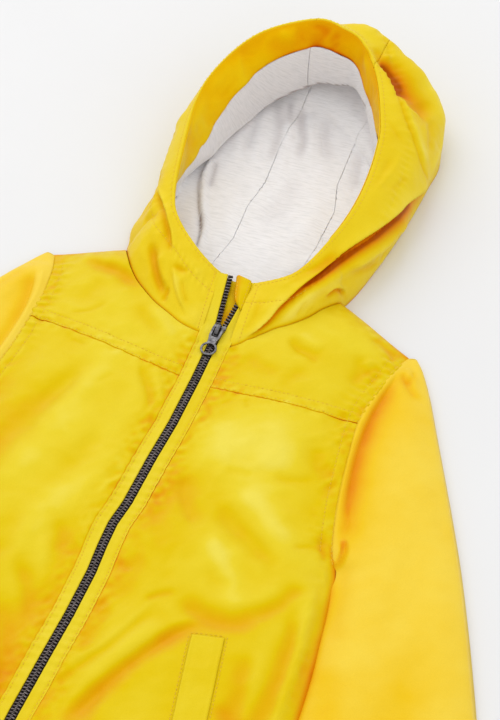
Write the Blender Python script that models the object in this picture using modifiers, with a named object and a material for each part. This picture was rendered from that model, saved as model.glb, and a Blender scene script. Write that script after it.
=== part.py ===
"""A child's hooded rain jacket, zipped up and laid on its back with the hood spread open.

The frame: the origin is on the underside of the back panel, below the zip at the front neck
seam. +Y runs up the zip to the hood, +X to the wearer's left sleeve as it is looked down on
(the viewer's right), +Z up from the surface that the jacket lies on. Names with left and
right are the viewer's. Every size below is in millimetres, and meshes are made in metres.
"""
import math

import bmesh
import bpy
from mathutils import Vector

MM = 0.001

# Cloth
CLOTH = 1.2             # wall of one layer, with its turnings
SEAM_GAP = 0.3          # between two sewn pieces
TURN_GAP = 0.6          # between sewn pieces that meet at an angle
LAYER = CLOTH + SEAM_GAP

# Body, from the zip line outwards
HEM_Y = -395.0
BAND_WIDTH = 12.4       # zip to the edge of the front band
FRONT_Z = 12.4          # top of the fronts at the zip
FRONT_SWELL = 2.4       # how much further each front rises half way out
SEAM_Z = 2.8            # top of a front where it is sewn to the back panel
HEM_DROP = 3.0          # how far the fronts sink at the hem
HEM_REACH = 45.0        # stretch over which they sink
SIDE_REACH = [(-195, 30.0), (-140, 55.0)]   # y, stretch over which a front comes down
SHOULDER_REACH = 26.0   # the same at the shoulder line
BACK_NECK_Y = 62.0      # back neck seam at the middle

# Outline of each half: y, distance from the zip line, height of the front's edge
SIDE_EDGE = {
    "right": [
        (40, 136, 2.8), (22, 131, 7.5), (-13, 125, 9.5), (-36, 124, 9.8), (-61, 127, 9.5),
        (-106, 134, 8.5), (-144, 143, 6.0), (-162, 151, 3.2), (-180, 155, 2.8),
        (-217, 161, 2.8), (-269, 168, 2.8), (HEM_Y, 177, 2.8),
    ],
    "left": [
        (44, 149, 2.8), (24, 142, 7.5), (-8, 137, 9.5), (-24, 137, 9.8), (-59, 138, 9.5),
        (-106, 144, 8.5), (-144, 153, 6.0), (-162, 160, 3.2), (-180, 164, 2.8),
        (-217, 170, 2.8), (-269, 177, 2.8), (HEM_Y, 186, 2.8),
    ],
}
# Neck seam from the band to the neck point: distance from the zip line, y
NECK_SEAM = {
    "right": [(13.5, -4), (24, 8), (37, 22), (48, 32), (59, 46), (73, 72)],
    "left": [(13.5, 2), (24, 3), (35, 7), (59, 20), (83, 41), (98.5, 66)],
}
# Yoke seam from the band outwards
YOKE_SEAM = {
    "right": [(BAND_WIDTH, -44), (81, -41), (124, -36)],
    "left": [(BAND_WIDTH, -41), (39, -39), (137, -24)],
}
SIGN = {"right": 1, "left": -1}

# Sleeves: the outer edge from the shoulder tip to the cuff, and the cuff's inner end
SLEEVE_OUTER = {
    "right": [(148, 31), (159, 12), (171, -12), (228, -130), (273, -239), (290, -288)],
    "left": [(161, 33), (173, 12), (185, -12), (242, -130), (287, -239), (304, -288)],
}
SLEEVE_CUFF_INNER = {"right": (186, -334), "left": (199, -334)}
PIT_Y = -162.0
ARMHOLE_STEPS = (7, 5)  # below and above the yoke seam
HEM_STEPS = 4           # from the hem to where the sleeve leaves the body
SIDE_STEPS = 5
CUFF_STEPS = 3
SLEEVE_LEAVES_Y = -260.0    # down to here the sleeve lies against the body
SLEEVE_Z = 11.0         # height of a sleeve along its middle
SLEEVE_OUTER_Z = 4.6    # its height at the overarm edge, and the width that comes down to it
SLEEVE_OUTER_REACH = 22.0
SLEEVE_INNER_Z = 3.4    # the same at the underarm edge, which lies low beside the body
SLEEVE_INNER_REACH = 38.0
SLEEVE_GAP = 0.6        # from the edge of the body to the sleeve
SLEEVE_STEPS = 9
TIP_WIDTH = 5.0         # width of the sleeve's first row, at the shoulder tip

# The hood: a row for each section round its opening, from the left band over the crown to
# the right band. Rim x, y, z; foot x, y (on the neck seam or on the table); belly, how far
# the outer wall stands out of the straight line; slope of the facing in degrees; foot of
# the inner wall, inwards from the rim; roll, how far the crown curls over.
HOOD_SECTIONS = [
    (-20.6, 56, 21, -14.2, 2.4, 1.0, 20, 0, 0.0),
    (-38, 65, 28, -35, 7.6, 2.0, 30, 0, 0.0),
    (-58, 84, 33, -59, 20.6, 3.0, 45, 0, 0.0),
    (-70, 102, 37, -98.6, 67, 4.0, 75, 0, 0.0),
    (-80, 133, 44, -97, 122, 8.0, 70, 10, 0.1),
    (-91, 187, 54, -99, 192, 9.0, 58, 16, 0.8),
    (-86, 228, 62, -96, 243, 9.0, 52, 22, 1.0),
    (-66, 267, 70, -80, 285, 10.0, 52, 26, 1.0),
    (-29, 291, 76, -36, 317, 10.0, 55, 28, 1.0),
    (-5, 291, 74, 0, 324, 10.0, 60, 28, 1.0),
    (13, 285, 70, 34, 315, 12.0, 66, 24, 1.0),
    (34, 258, 64, 74, 287, 16.0, 75, 14, 0.8),
    (50, 222, 58, 92, 246, 17.0, 88, 2, 0.2),
    (56, 202, 54, 92, 215, 17.0, 92, -2, 0.0),
    (60, 168, 49, 90, 176, 16.0, 95, -4, 0.0),
    (60, 132, 46, 84, 124, 13.0, 92, -4, 0.0),
    (53, 99, 41, 73, 73, 8.0, 80, 0, 0.0),
    (38, 65, 33, 48, 33, 4.0, 50, 0, 0.0),
    (12.2, 54, 22, 15, -3.2, 2.0, 25, 0, 0.0),
]
NECK_POINTS = (3, 16)   # sections at which the neck seam turns to the back
COLUMNS_PER_SECTION = 2
HOOD_CENTRE = (-4.6, 180.0)
FACING_WIDTH = 28.0
FACING_SHARE = 0.6      # the most of a short wall that it covers
STRIP_HALF = 28.0       # half the centre strip's width
STRIP_FOOT_Y = 61.0     # the strip is sewn to the back neck
LIP_LENGTH = 31.0       # lining from the facing to the lip of the roll
LIP_SLOPE = 48.0
THROAT_SLACK = 1.6      # the lining hangs a little under the front of the hood
LINING_SHARE = 0.8      # how near to the front neck seam the lining reaches
LIP_TUCK = (11.0, 12.0)  # how far back and down the lining goes under the lip
FACING_LEAST_Z = 9.0    # the facing's edge stays above the lining on the table
FACING_STEPS = 3
LINING_STEPS = 6
FINE = 20               # steps in which the outer wall is followed by the lining
BASE_STEPS = 3          # from the foot of a wall to the middle of the base
FAR = 400.0             # beyond the hood's edges, for the shapes that part it

# Zip
CHAIN_HALF = 3.0
CHAIN_RISE = 0.8        # chain above the bands
CHAIN_TOP_SHARE = 0.7   # its width on top, as a share of its width below
BAND_INSET = 0.5        # from the chain to the band's edge
TAPE_WIDTH = 9.0
TAPE = 0.8
ZIP_TOP_Y = 56.0
ZIP_RISE = 0.21         # the stand of the hood lifts the zip above the slider
SLIDER_Y = (0.5, 12.5)
PART_Y = 4.0            # inside the slider, where the closed teeth end
# Distance of a chain's middle from the zip line above the slider: y, distance
CHAIN_SPREAD = {
    "right": [(SLIDER_Y[1], 2.0), (35, 4.4), (ZIP_TOP_Y - 4, 5.6)],
    "left": [(SLIDER_Y[1], 2.6), (35, 6.0), (ZIP_TOP_Y - 1, 8.9)],
}
BAND_TOP_Y = {"right": ZIP_TOP_Y - 2, "left": ZIP_TOP_Y}
# Distance of a band's outer edge from the zip line above the neck seam: y, distance
BAND_TOP_OUTER = {
    "right": [(-4, 13.0), (25, 12.6), (BAND_TOP_Y["right"], 10.7)],
    "left": [(2, 12.9), (25, 16.2), (BAND_TOP_Y["left"], 19.8)],
}
TAPE_TOP_Y = ZIP_TOP_Y - 3
TAPE_TUCK = 2.0         # from a tape's edge to the band's
GUARD = [(-5.0, 57.0), (8.7, 54.6), (10.6, 27.0), (0.6, 36.0)]   # the folded chin guard

# Slider, from the plate on the chain upwards; the bridge is a block with a slot through it
PLATE_HALF = 0.6
PLATE_OUTLINE = [
    (3.6, SLIDER_Y[0]), (4.2, SLIDER_Y[0] + 4), (4.8, SLIDER_Y[1] - 4), (4.4, SLIDER_Y[1]),
    (1.4, SLIDER_Y[1]), (0, SLIDER_Y[1] - 1.4),
]
BRIDGE = (3.0, 9.0, 3.9)
BRIDGE_MIDDLE = (6.0, 2.15)     # y, height above the plate's middle
SLOT = (5.0, 2.6, 2.4)
SLOT_RISE = 1.95

# Pull tab, from its hinge down to the ring
HINGE = (0.0, 8.5, 16.2)
PULL_LENGTH = 27.0
PULL_THICK = 1.2
PULL_HALF = 4.4
PULL_NECK_HALF = 3.2
PULL_BAR = 0.7          # half the bar that hangs in the bridge
PULL_CORNER = 0.8
WINDOW_SIDE = 1.8       # metal on each side of the window
WINDOW_FOOT = 9.5       # from the hinge to the window's foot
RING_RADIUS = 6.1
RING_HOLE = 4.5
RING_POINTS = 14
PULL_TILT = 4.4         # degrees that the ring hangs below the hinge

# Pocket welts, completed on both sides
WELT = [(93, -247), (116.6, -365)]   # middle of its short ends
WELT_WIDTH = 22.0
WELT_STEPS = 5


# ---------------------------------------------------------------- small tools

def clamp(value, low=0.0, high=1.0):
    return max(low, min(high, value))


def ease_out(t):
    """0 to 1, steep at first and level at the end."""
    return 1 - (1 - clamp(t)) ** 2


def mix(a, b, t):
    return tuple(p + (q - p) * t for p, q in zip(a, b))


def lookup(rows, key):
    """The rest of a row, interpolated in a table whose first column rises or falls."""
    if rows[0][0] > rows[-1][0]:
        rows = rows[::-1]
    if key <= rows[0][0]:
        return rows[0][1:]
    for low, high in zip(rows, rows[1:]):
        if key <= high[0]:
            return mix(low[1:], high[1:], (key - low[0]) / (high[0] - low[0]))
    return rows[-1][1:]


def spline(rows, steps):
    """Catmull-Rom through the rows, with a number of steps between each two."""
    rows = [rows[0]] + list(rows) + [rows[-1]]
    points = []
    for a, b, c, d in zip(rows, rows[1:], rows[2:], rows[3:]):
        for step in range(steps):
            t = step / steps
            points.append(tuple(
                0.5 * (2 * q + (r - p) * t + (2 * p - 5 * q + 4 * r - s) * t * t
                       + (3 * q - p - 3 * r + s) * t ** 3)
                for p, q, r, s in zip(a, b, c, d)))
    points.append(tuple(rows[-1]))
    return points


def even(points, count):
    """The same line with a number of equal steps."""
    lengths = [0.0]
    for a, b in zip(points, points[1:]):
        lengths.append(lengths[-1] + math.dist(a, b))
    table = [(length, *point) for length, point in zip(lengths, points)]
    return [lookup(table, lengths[-1] * i / count) for i in range(count + 1)]


def edge(points, count):
    """A smooth edge through the points, in equal steps."""
    return even(spline(points, 8), count)


def straight(a, b, count):
    return [mix(a, b, i / count) for i in range(count + 1)]


def patch(bottom, right, top, left):
    """Rows of plan points that fill four edges (bottom and top run the same way, as do
    left and right)."""
    rows = []
    for j in range(len(left)):
        v = j / (len(left) - 1)
        row = []
        for i in range(len(bottom)):
            u = i / (len(bottom) - 1)
            row.append(tuple(
                (1 - v) * bottom[i][k] + v * top[i][k] + (1 - u) * left[j][k] + u * right[j][k]
                - (1 - u) * (1 - v) * bottom[0][k] - u * (1 - v) * bottom[-1][k]
                - (1 - u) * v * top[0][k] - u * v * top[-1][k]
                for k in (0, 1)))
        rows.append(row)
    return rows


def mirrored(rows, side):
    """Plan rows of a right half, turned into the side's own and kept facing up."""
    if SIGN[side] > 0:
        return rows
    return [[(-x, y) for x, y in reversed(row)] for row in rows]


# ---------------------------------------------------------------- Blender helpers

def clear_scene():
    for item in list(bpy.data.objects):
        bpy.data.objects.remove(item, do_unlink=True)


def material(name, colour, roughness, metallic=0.0):
    mat = bpy.data.materials.new(name)
    mat.use_nodes = True
    shader = mat.node_tree.nodes["Principled BSDF"]
    shader.inputs["Base Color"].default_value = (*colour, 1)
    shader.inputs["Roughness"].default_value = roughness
    shader.inputs["Metallic"].default_value = metallic
    return mat


def add_object(name, mesh, mat, collection):
    item = bpy.data.objects.new(name, mesh)
    collection.objects.link(item)
    if mat:
        mesh.materials.clear()
        mesh.materials.append(mat)
    return item


def grid_mesh(name, rows):
    """A sheet through rows of points in millimetres."""
    bm = bmesh.new()
    verts = [[bm.verts.new(Vector(p) * MM) for p in row] for row in rows]
    for low, high in zip(verts, verts[1:]):
        for i in range(len(low) - 1):
            bm.faces.new((low[i], low[i + 1], high[i + 1], high[i]))
    mesh = bpy.data.meshes.new(name)
    bm.to_mesh(mesh)
    bm.free()
    mesh.shade_smooth()
    return mesh


def tube_mesh(name, outer_rings, inner_rings, slit, slit_rows):
    """A tube with a wall, between outer and inner rings. It is open at both ends, and along
    one step of the ring, the slit, for its first rows."""
    bm = bmesh.new()
    outer, inner = [[[bm.verts.new(Vector(p) * MM) for p in ring] for ring in rings]
                    for rings in (outer_rings, inner_rings)]
    count = len(outer[0])
    for i in range(count):
        k = (i + 1) % count
        first = slit_rows if i == slit else 0
        for j in range(first, len(outer) - 1):
            for skin in (outer, inner):
                bm.faces.new((skin[j][i], skin[j][k], skin[j + 1][k], skin[j + 1][i]))
        for j in (first, -1):
            bm.faces.new((outer[j][i], outer[j][k], inner[j][k], inner[j][i]))
    for j in range(slit_rows):
        for i in (slit, slit + 1):
            bm.faces.new((outer[j][i], outer[j + 1][i], inner[j + 1][i], inner[j][i]))
    bmesh.ops.recalc_face_normals(bm, faces=bm.faces)
    mesh = bpy.data.meshes.new(name)
    bm.to_mesh(mesh)
    bm.free()
    mesh.shade_smooth()
    return mesh


def thicken(item, thickness):
    """Solidify below the sheet's own face."""
    solid = item.modifiers.new("thickness", "SOLIDIFY")
    solid.thickness = thickness * MM
    solid.offset = -1


def outline_plate(name, loops, half, mat, collection):
    """A flat plate from closed outlines in millimetres, centred on z = 0, as a mesh."""
    curve = bpy.data.curves.new(name, "CURVE")
    curve.dimensions = "2D"
    curve.fill_mode = "BOTH"
    curve.extrude = half * MM
    for loop in loops:
        line = curve.splines.new("POLY")
        line.points.add(len(loop) - 1)
        for point, (x, y) in zip(line.points, loop):
            point.co = (x * MM, y * MM, 0, 1)
        line.use_cyclic_u = True
    source = bpy.data.objects.new(name + "_outline", curve)
    collection.objects.link(source)
    depsgraph = bpy.context.evaluated_depsgraph_get()
    mesh = bpy.data.meshes.new_from_object(source.evaluated_get(depsgraph))
    bpy.data.objects.remove(source, do_unlink=True)
    bm = bmesh.new()
    bm.from_mesh(mesh)
    bmesh.ops.remove_doubles(bm, verts=bm.verts, dist=0.01 * MM)
    bmesh.ops.recalc_face_normals(bm, faces=bm.faces)
    bm.to_mesh(mesh)
    bm.free()
    return add_object(name, mesh, mat, collection)


def cutter(item):
    item.hide_render = True
    item.display_type = "WIRE"
    return item


def boolean(item, tool, operation):
    cut = item.modifiers.new(operation.lower(), "BOOLEAN")
    cut.operation = operation
    cut.object = tool
    cut.solver = "EXACT"


# ---------------------------------------------------------------- the form of the body

def shoulder_drop(side, x, y):
    """How far a point lies below the line from the neck point to the shoulder tip."""
    neck = NECK_SEAM[side][-1]
    tip = (SIDE_EDGE[side][0][1], SIDE_EDGE[side][0][0])
    run, fall = tip[0] - neck[0], tip[1] - neck[1]
    return (fall * (x - neck[0]) - run * (y - neck[1])) / math.hypot(run, fall)


def body_top(side, x, y):
    """Height of a front's upper face, x counted outwards from the zip line."""
    reach, seam_z = lookup(SIDE_EDGE[side], y)
    out = clamp((x - BAND_WIDTH) / (reach - BAND_WIDTH))
    z = FRONT_Z + FRONT_SWELL * math.sin(math.pi * out)
    if y < SIDE_EDGE[side][0][0]:
        z = seam_z + (z - seam_z) * ease_out((reach - x) / lookup(SIDE_REACH, y)[0])
    z = SEAM_Z + (z - SEAM_Z) * ease_out(shoulder_drop(side, x, y) / SHOULDER_REACH)
    z -= HEM_DROP * (1 - ease_out((y - HEM_Y) / HEM_REACH))
    return max(z, SEAM_Z)


def on_body(side, rows, lift=0.0):
    return [[(x, y, body_top(side, abs(x), y) + lift) for x, y in row] for row in rows]


def inset(points, amount, axis=1):
    """Plan points moved along one axis, for the gap at a seam."""
    shift = [0.0, 0.0]
    shift[axis] = amount
    return [(x + shift[0], y + shift[1]) for x, y in points]


def outline(side, low, high, count):
    """The side edge between two heights, from the hem end upwards, in equal steps."""
    line = [(x, y) for x, y in spline([row[1::-1] for row in SIDE_EDGE[side]], 8)][::-1]
    table = [(y, x) for x, y in line]
    inside = [(x, y) for x, y in line if low < y < high]
    ends = [(lookup(table, y)[0], y) for y in (low, high)]
    return even([ends[0]] + inside + [ends[1]], count)


def armhole(side):
    """The armhole edge, from the pit to the yoke seam and on to the shoulder tip."""
    seam_y, tip_y = YOKE_SEAM[side][-1][1], SIDE_EDGE[side][0][0]
    below, above = ARMHOLE_STEPS
    return outline(side, PIT_Y, seam_y, below), outline(side, seam_y, tip_y, above)


def side_seam(side):
    """The side edge from the hem to the pit."""
    line = outline(side, HEM_Y, SLEEVE_LEAVES_Y, HEM_STEPS)
    return line + outline(side, SLEEVE_LEAVES_Y, PIT_Y, SIDE_STEPS)[1:]


def build_yoke(side, mat, collection):
    above_seam = armhole(side)[1]
    share = TURN_GAP / (above_seam[1][1] - above_seam[0][1])
    right = even([mix(above_seam[0], above_seam[1], share)] + above_seam[1:], 10)
    seam = inset(edge(YOKE_SEAM[side], 8), TURN_GAP)[:-1] + right[:1]
    neck = NECK_SEAM[side]
    left = straight((BAND_WIDTH + SEAM_GAP, seam[0][1]), neck[0], 2)[:-1] + edge(neck, 8)
    rows = patch(seam, right, straight(neck[-1], right[-1], 8), left)
    mesh = grid_mesh("yoke", on_body(side, mirrored(rows, side)))
    thicken(add_object("front_yoke_" + side, mesh, mat, collection), CLOTH)


def build_front(side, mat, collection):
    right = side_seam(side) + armhole(side)[0][1:]
    seam = edge(YOKE_SEAM[side], 8)[:-1] + right[-1:]
    hem = straight((BAND_WIDTH + SEAM_GAP, HEM_Y), right[0], 8)
    left = straight(hem[0], (hem[0][0], seam[0][1]), len(right) - 1)
    rows = patch(hem, right, seam, left)
    mesh = grid_mesh("front", on_body(side, mirrored(rows, side)))
    thicken(add_object("front_" + side, mesh, mat, collection), CLOTH)


def build_back(mat, collection):
    """One flat panel under the whole body."""
    sides = {}
    for side, sign in SIGN.items():
        below_seam, above_seam = armhole(side)
        line = side_seam(side) + below_seam[1:] + above_seam[1:]
        sides[side] = [(sign * x, y) for x, y in line]
    hem = straight(sides["left"][0], sides["right"][0], 10)
    neck_left, neck_right = NECK_SEAM["left"][-1], NECK_SEAM["right"][-1]
    back_neck = [(-neck_left[0], neck_left[1]), (0, BACK_NECK_Y), neck_right]
    top = straight(sides["left"][-1], back_neck[0], 2)[:-1] + edge(back_neck, 6)
    top += straight(back_neck[-1], sides["right"][-1], 2)[1:]
    rows = patch(hem, sides["right"], inset(top, -SEAM_GAP), sides["left"])
    mesh = grid_mesh("back", [[(x, y, CLOTH) for x, y in row] for row in rows])
    thicken(add_object("back", mesh, mat, collection), CLOTH)


def sleeve_top(out, width, inner_z):
    """Height of a sleeve's upper layer, out mm from the overarm edge of a row."""
    from_outer = (SLEEVE_Z - SLEEVE_OUTER_Z) * (1 - ease_out(out / SLEEVE_OUTER_REACH))
    from_inner = (SLEEVE_Z - inner_z) * (1 - ease_out((width - out) / SLEEVE_INNER_REACH))
    at_least = SLEEVE_OUTER_Z + (inner_z - SLEEVE_OUTER_Z) * out / width
    return max(SLEEVE_Z - from_outer - from_inner, at_least)


def build_sleeve(side, mat, collection):
    """A flattened tube. Its rows run from the overarm edge to the armhole, and below the
    pit to the underarm edge; along the armhole the two layers stay apart."""
    below_seam, above_seam = armhole(side)
    inner = above_seam[::-1] + below_seam[::-1][1:]
    open_rows = len(inner) - 1
    inner += outline(side, SLEEVE_LEAVES_Y, PIT_Y, SIDE_STEPS)[::-1][1:]
    inner = inset(inner, SLEEVE_GAP, axis=0)
    inner += straight(inner[-1], SLEEVE_CUFF_INNER[side], CUFF_STEPS)[1:]
    tip = (inner[0][0] + TIP_WIDTH, inner[0][1])
    outer = edge([tip] + SLEEVE_OUTER[side], len(inner) - 1)
    sign = SIGN[side]
    outer_rings, inner_rings = [], []
    for j, (start, end) in enumerate(zip(outer, inner)):
        width = math.dist(start, end)
        inner_z = lookup(SIDE_EDGE[side], end[1])[1] if j < open_rows else SLEEVE_INNER_Z
        heights = [sleeve_top(width * i / SLEEVE_STEPS, width, inner_z)
                   for i in range(SLEEVE_STEPS + 1)]
        start, end = (sign * start[0], start[1]), (sign * end[0], end[1])
        outer_rings.append(flat_ring(straight(start, end, SLEEVE_STEPS), heights, 0.0))
        near_start = mix(start, end, CLOTH / width)
        near_end = end if j < open_rows else mix(end, start, CLOTH / width)
        row = straight(near_start, near_end, SLEEVE_STEPS)
        inner_rings.append(flat_ring(row, heights, CLOTH))
    mesh = tube_mesh("sleeve", outer_rings, inner_rings, SLEEVE_STEPS, open_rows)
    add_object("sleeve_" + side, mesh, mat, collection)


def flat_ring(row, heights, wall):
    """A ring round a flattened tube, a wall's thickness inside its outer face."""
    upper = [(x, y, z - wall) for (x, y), z in zip(row, heights)]
    return upper + [(x, y, wall) for x, y in reversed(row)]


def build_welt(side, mat, collection):
    """A pocket welt, lying on its front."""
    (x0, y0), (x1, y1) = WELT
    length = math.dist(*WELT)
    nx, ny = -(y1 - y0) / length * WELT_WIDTH / 2, (x1 - x0) / length * WELT_WIDTH / 2
    rows = []
    for x, y in straight((x1, y1), (x0, y0), WELT_STEPS):
        rows.append([(x + k * nx, y + k * ny) for k in (-1, 0, 1)])
    rows = on_body(side, mirrored(rows, side), lift=LAYER)
    mesh = grid_mesh("welt", rows)
    thicken(add_object("pocket_welt_" + side, mesh, mat, collection), CLOTH)


# ---------------------------------------------------------------- the zip and its bands

def zip_z(side, y):
    """Height of the band along the zip, lifted by the stand of the hood."""
    return body_top(side, BAND_WIDTH, min(y, 0)) + ZIP_RISE * max(y - SLIDER_Y[1], 0)


def stations(first, last, count):
    return [first + (last - first) * i / count for i in range(count + 1)]


def closed_stations():
    """Where the closed stretch of the zip is measured, from the hem to inside the slider."""
    level_y = HEM_Y + HEM_REACH
    return stations(HEM_Y, level_y, 3)[:-1] + stations(level_y, PART_Y, 9)


def open_stations(top):
    return stations(SLIDER_Y[1] + 1.5, top, 4)


def chain_offset(side, y):
    return lookup([(HEM_Y, 0.0), (PART_Y, 0.0)] + CHAIN_SPREAD[side], y)[0]


def band_outer(side, y):
    return lookup([(HEM_Y, BAND_WIDTH), (-8, BAND_WIDTH)] + BAND_TOP_OUTER[side], y)[0]


def ribbon(side, ys, inner, outer, drop=0.0):
    """Rows across a strip along the zip; inner and outer give its edges at a y."""
    rows = []
    for y in ys:
        pair = [(inner(y), y), (0.5 * (inner(y) + outer(y)), y), (outer(y), y)]
        pair = [(SIGN[side] * x, y, zip_z(side, y) - drop) for x, y in pair]
        rows.append(pair if side == "right" else pair[::-1])
    return rows


def build_band(side, mat, collection):
    """The strip of front beside the zip, from the hem to the top of the hood's stand."""
    ys = closed_stations() + open_stations(BAND_TOP_Y[side])

    def inner(y):
        half = CHAIN_HALF if y <= PART_Y else CHAIN_HALF / 2
        return chain_offset(side, y) + half + BAND_INSET

    rows = ribbon(side, ys, inner, lambda y: band_outer(side, y))
    mesh = grid_mesh("band", rows)
    thicken(add_object("zip_band_" + side, mesh, mat, collection), CLOTH)


def build_tape(side, mat, collection):
    """The zip's own tape, under the band and the chain."""
    ys = closed_stations() + open_stations(TAPE_TOP_Y)

    def inner(y):
        return chain_offset(side, y) + (SEAM_GAP / 2 if y <= PART_Y else -CHAIN_HALF * 0.4)

    def outer(y):
        return min(inner(y) + TAPE_WIDTH, band_outer(side, y) - TAPE_TUCK)

    rows = ribbon(side, ys, inner, outer, drop=LAYER)
    mesh = grid_mesh("tape", rows)
    thicken(add_object("zip_tape_" + side, mesh, mat, collection), TAPE)


def chain_mesh(name, side, ys, half):
    """The plain bar that the teeth fill."""
    rings = []
    for y in ys:
        x = SIGN[side] * chain_offset(side, y)
        low = zip_z(side, y) - LAYER + SEAM_GAP
        high = zip_z(side, y) + CHAIN_RISE
        rings.append([(x - half, y, low), (x + half, y, low),
                      (x + CHAIN_TOP_SHARE * half, y, high),
                      (x - CHAIN_TOP_SHARE * half, y, high)])
    bm = bmesh.new()
    verts = [[bm.verts.new(Vector(p) * MM) for p in ring] for ring in rings]
    for low, high in zip(verts, verts[1:]):
        for i in range(4):
            j = (i + 1) % 4
            bm.faces.new((low[i], high[i], high[j], low[j]))
    bm.faces.new(verts[0])
    bm.faces.new(verts[-1][::-1])
    bmesh.ops.recalc_face_normals(bm, faces=bm.faces)
    mesh = bpy.data.meshes.new(name)
    bm.to_mesh(mesh)
    bm.free()
    return mesh


def build_chain(mat, collection):
    closed = chain_mesh("chain", "right", closed_stations(), CHAIN_HALF)
    add_object("zip_chain_closed", closed, mat, collection)
    for side in SIGN:
        ys = open_stations(CHAIN_SPREAD[side][-1][0])
        mesh = chain_mesh("open chain", side, ys, CHAIN_HALF / 2)
        add_object("zip_chain_" + side, mesh, mat, collection)


def build_chin_guard(mat, collection):
    """The stand's right corner, folded over the top of the teeth."""
    rows = []
    for v in (0, 0.5, 1):
        left, right = mix(GUARD[3], GUARD[0], v), mix(GUARD[2], GUARD[1], v)
        row = []
        for u in (0, 0.5, 1):
            x, y = mix(left, right, u)
            row.append((x, y, zip_z("right", y) + CHAIN_RISE + LAYER))
        rows.append(row)
    mesh = grid_mesh("guard", rows)
    thicken(add_object("chin_guard", mesh, mat, collection), CLOTH)


def block(name, size, middle):
    bpy.ops.mesh.primitive_cube_add(size=1, location=Vector(middle) * MM)
    item = cutter(bpy.context.object)
    item.name = name
    item.scale = Vector(size) * MM
    return item


def build_slider(mat, collection, cutters):
    """Top plate on the chain, with the bridge that the pull tab hangs in."""
    plate_z = zip_z("right", PART_Y) + CHAIN_RISE + SEAM_GAP + PLATE_HALF
    outline = PLATE_OUTLINE + [(-x, y) for x, y in reversed(PLATE_OUTLINE[:-1])]
    slider = outline_plate("zip_slider", [outline], PLATE_HALF, mat, collection)
    slider.location.z = plate_z * MM
    bridge_y, bridge_rise = BRIDGE_MIDDLE
    bridge = block("bridge_block", BRIDGE, (0, bridge_y, plate_z + bridge_rise))
    slot = block("bridge_slot", SLOT, (0, HINGE[1], plate_z + SLOT_RISE))
    for tool in (bridge, slot):
        for owner in list(tool.users_collection):
            owner.objects.unlink(tool)
        cutters.objects.link(tool)
    boolean(slider, bridge, "UNION")
    boolean(slider, slot, "DIFFERENCE")


def pull_outline():
    """The tab from its hinge bar to the ring, and its two holes, hinge at y = 0."""
    ring_y = -PULL_LENGTH + RING_RADIUS
    half_gap = math.degrees(math.asin(PULL_NECK_HALF / RING_RADIUS))
    ring, hole = [], []
    for step in range(RING_POINTS + 1):
        angle = math.radians(90 + half_gap + (360 - 2 * half_gap) * step / RING_POINTS)
        ring.append((RING_RADIUS * math.cos(angle), ring_y + RING_RADIUS * math.sin(angle)))
    for step in range(RING_POINTS):
        angle = 2 * math.pi * step / RING_POINTS
        hole.append((RING_HOLE * math.cos(angle), ring_y + RING_HOLE * math.sin(angle)))
    tab = [(PULL_HALF, -WINDOW_FOOT + 0.5), (PULL_HALF, PULL_BAR - 0.9),
           (PULL_HALF - PULL_CORNER, PULL_BAR)]
    outer = ring + tab + [(-x, y) for x, y in reversed(tab)]
    window_half = PULL_HALF - WINDOW_SIDE
    window = [(window_half, -PULL_BAR), (window_half, -WINDOW_FOOT),
              (-window_half, -WINDOW_FOOT), (-window_half, -PULL_BAR)]
    return [outer, window, hole]


def build_pull(mat, collection):
    pull = outline_plate("zip_pull", pull_outline(), PULL_THICK / 2, mat, collection)
    pull.location = Vector(HINGE) * MM
    pull.rotation_euler.x = math.radians(PULL_TILT)


# ---------------------------------------------------------------- the hood

def beside_neck_seam(side, foot):
    """The place on the neck seam nearest to a plan point, a gap away on the hood's side."""
    seam = edge(NECK_SEAM[side], 60)
    index = min(range(1, 60), key=lambda i: math.dist(seam[i], (abs(foot.x), foot.y)))
    (x0, y0), (x, y), (x1, y1) = seam[index - 1:index + 2]
    length = math.dist((x0, y0), (x1, y1))
    gap = TURN_GAP + SEAM_GAP
    x, y = x - gap * (y1 - y0) / length, y + gap * (x1 - x0) / length
    return Vector((SIGN[side] * x, y, body_top(side, x, y)))


def hood_columns():
    """Sections of the hood, with the columns between them."""
    rows = spline(HOOD_SECTIONS, COLUMNS_PER_SECTION)
    first, last = (point * COLUMNS_PER_SECTION for point in NECK_POINTS)
    columns = []
    for index, row in enumerate(rows):
        rim, foot = Vector(row[0:3]), Vector((*row[3:5], 0))
        at_neck = index <= first or index >= last
        side = "left" if index <= first else "right"
        if at_neck:
            foot = beside_neck_seam(side, foot)
        columns.append(dict(
            rim=rim, foot=foot, at_neck=at_neck, belly=row[5], slope=math.radians(row[6]),
            foot_in=row[7], roll=clamp(row[8])))
    return columns


def outer_profile(column, steps=6):
    """The outer wall from the rim to the neck seam or the table, and its outward normal."""
    rim, foot = column["rim"], column["foot"]
    chord = foot - rim
    flat = Vector((chord.x, chord.y, 0))
    normal = (flat.normalized() * -chord.z + Vector((0, 0, flat.length))).normalized()
    points = []
    for step in range(steps + 1):
        t = step / steps
        points.append(rim + chord * t + normal * column["belly"] * 4 * t * (1 - t))
    return points, normal


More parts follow.
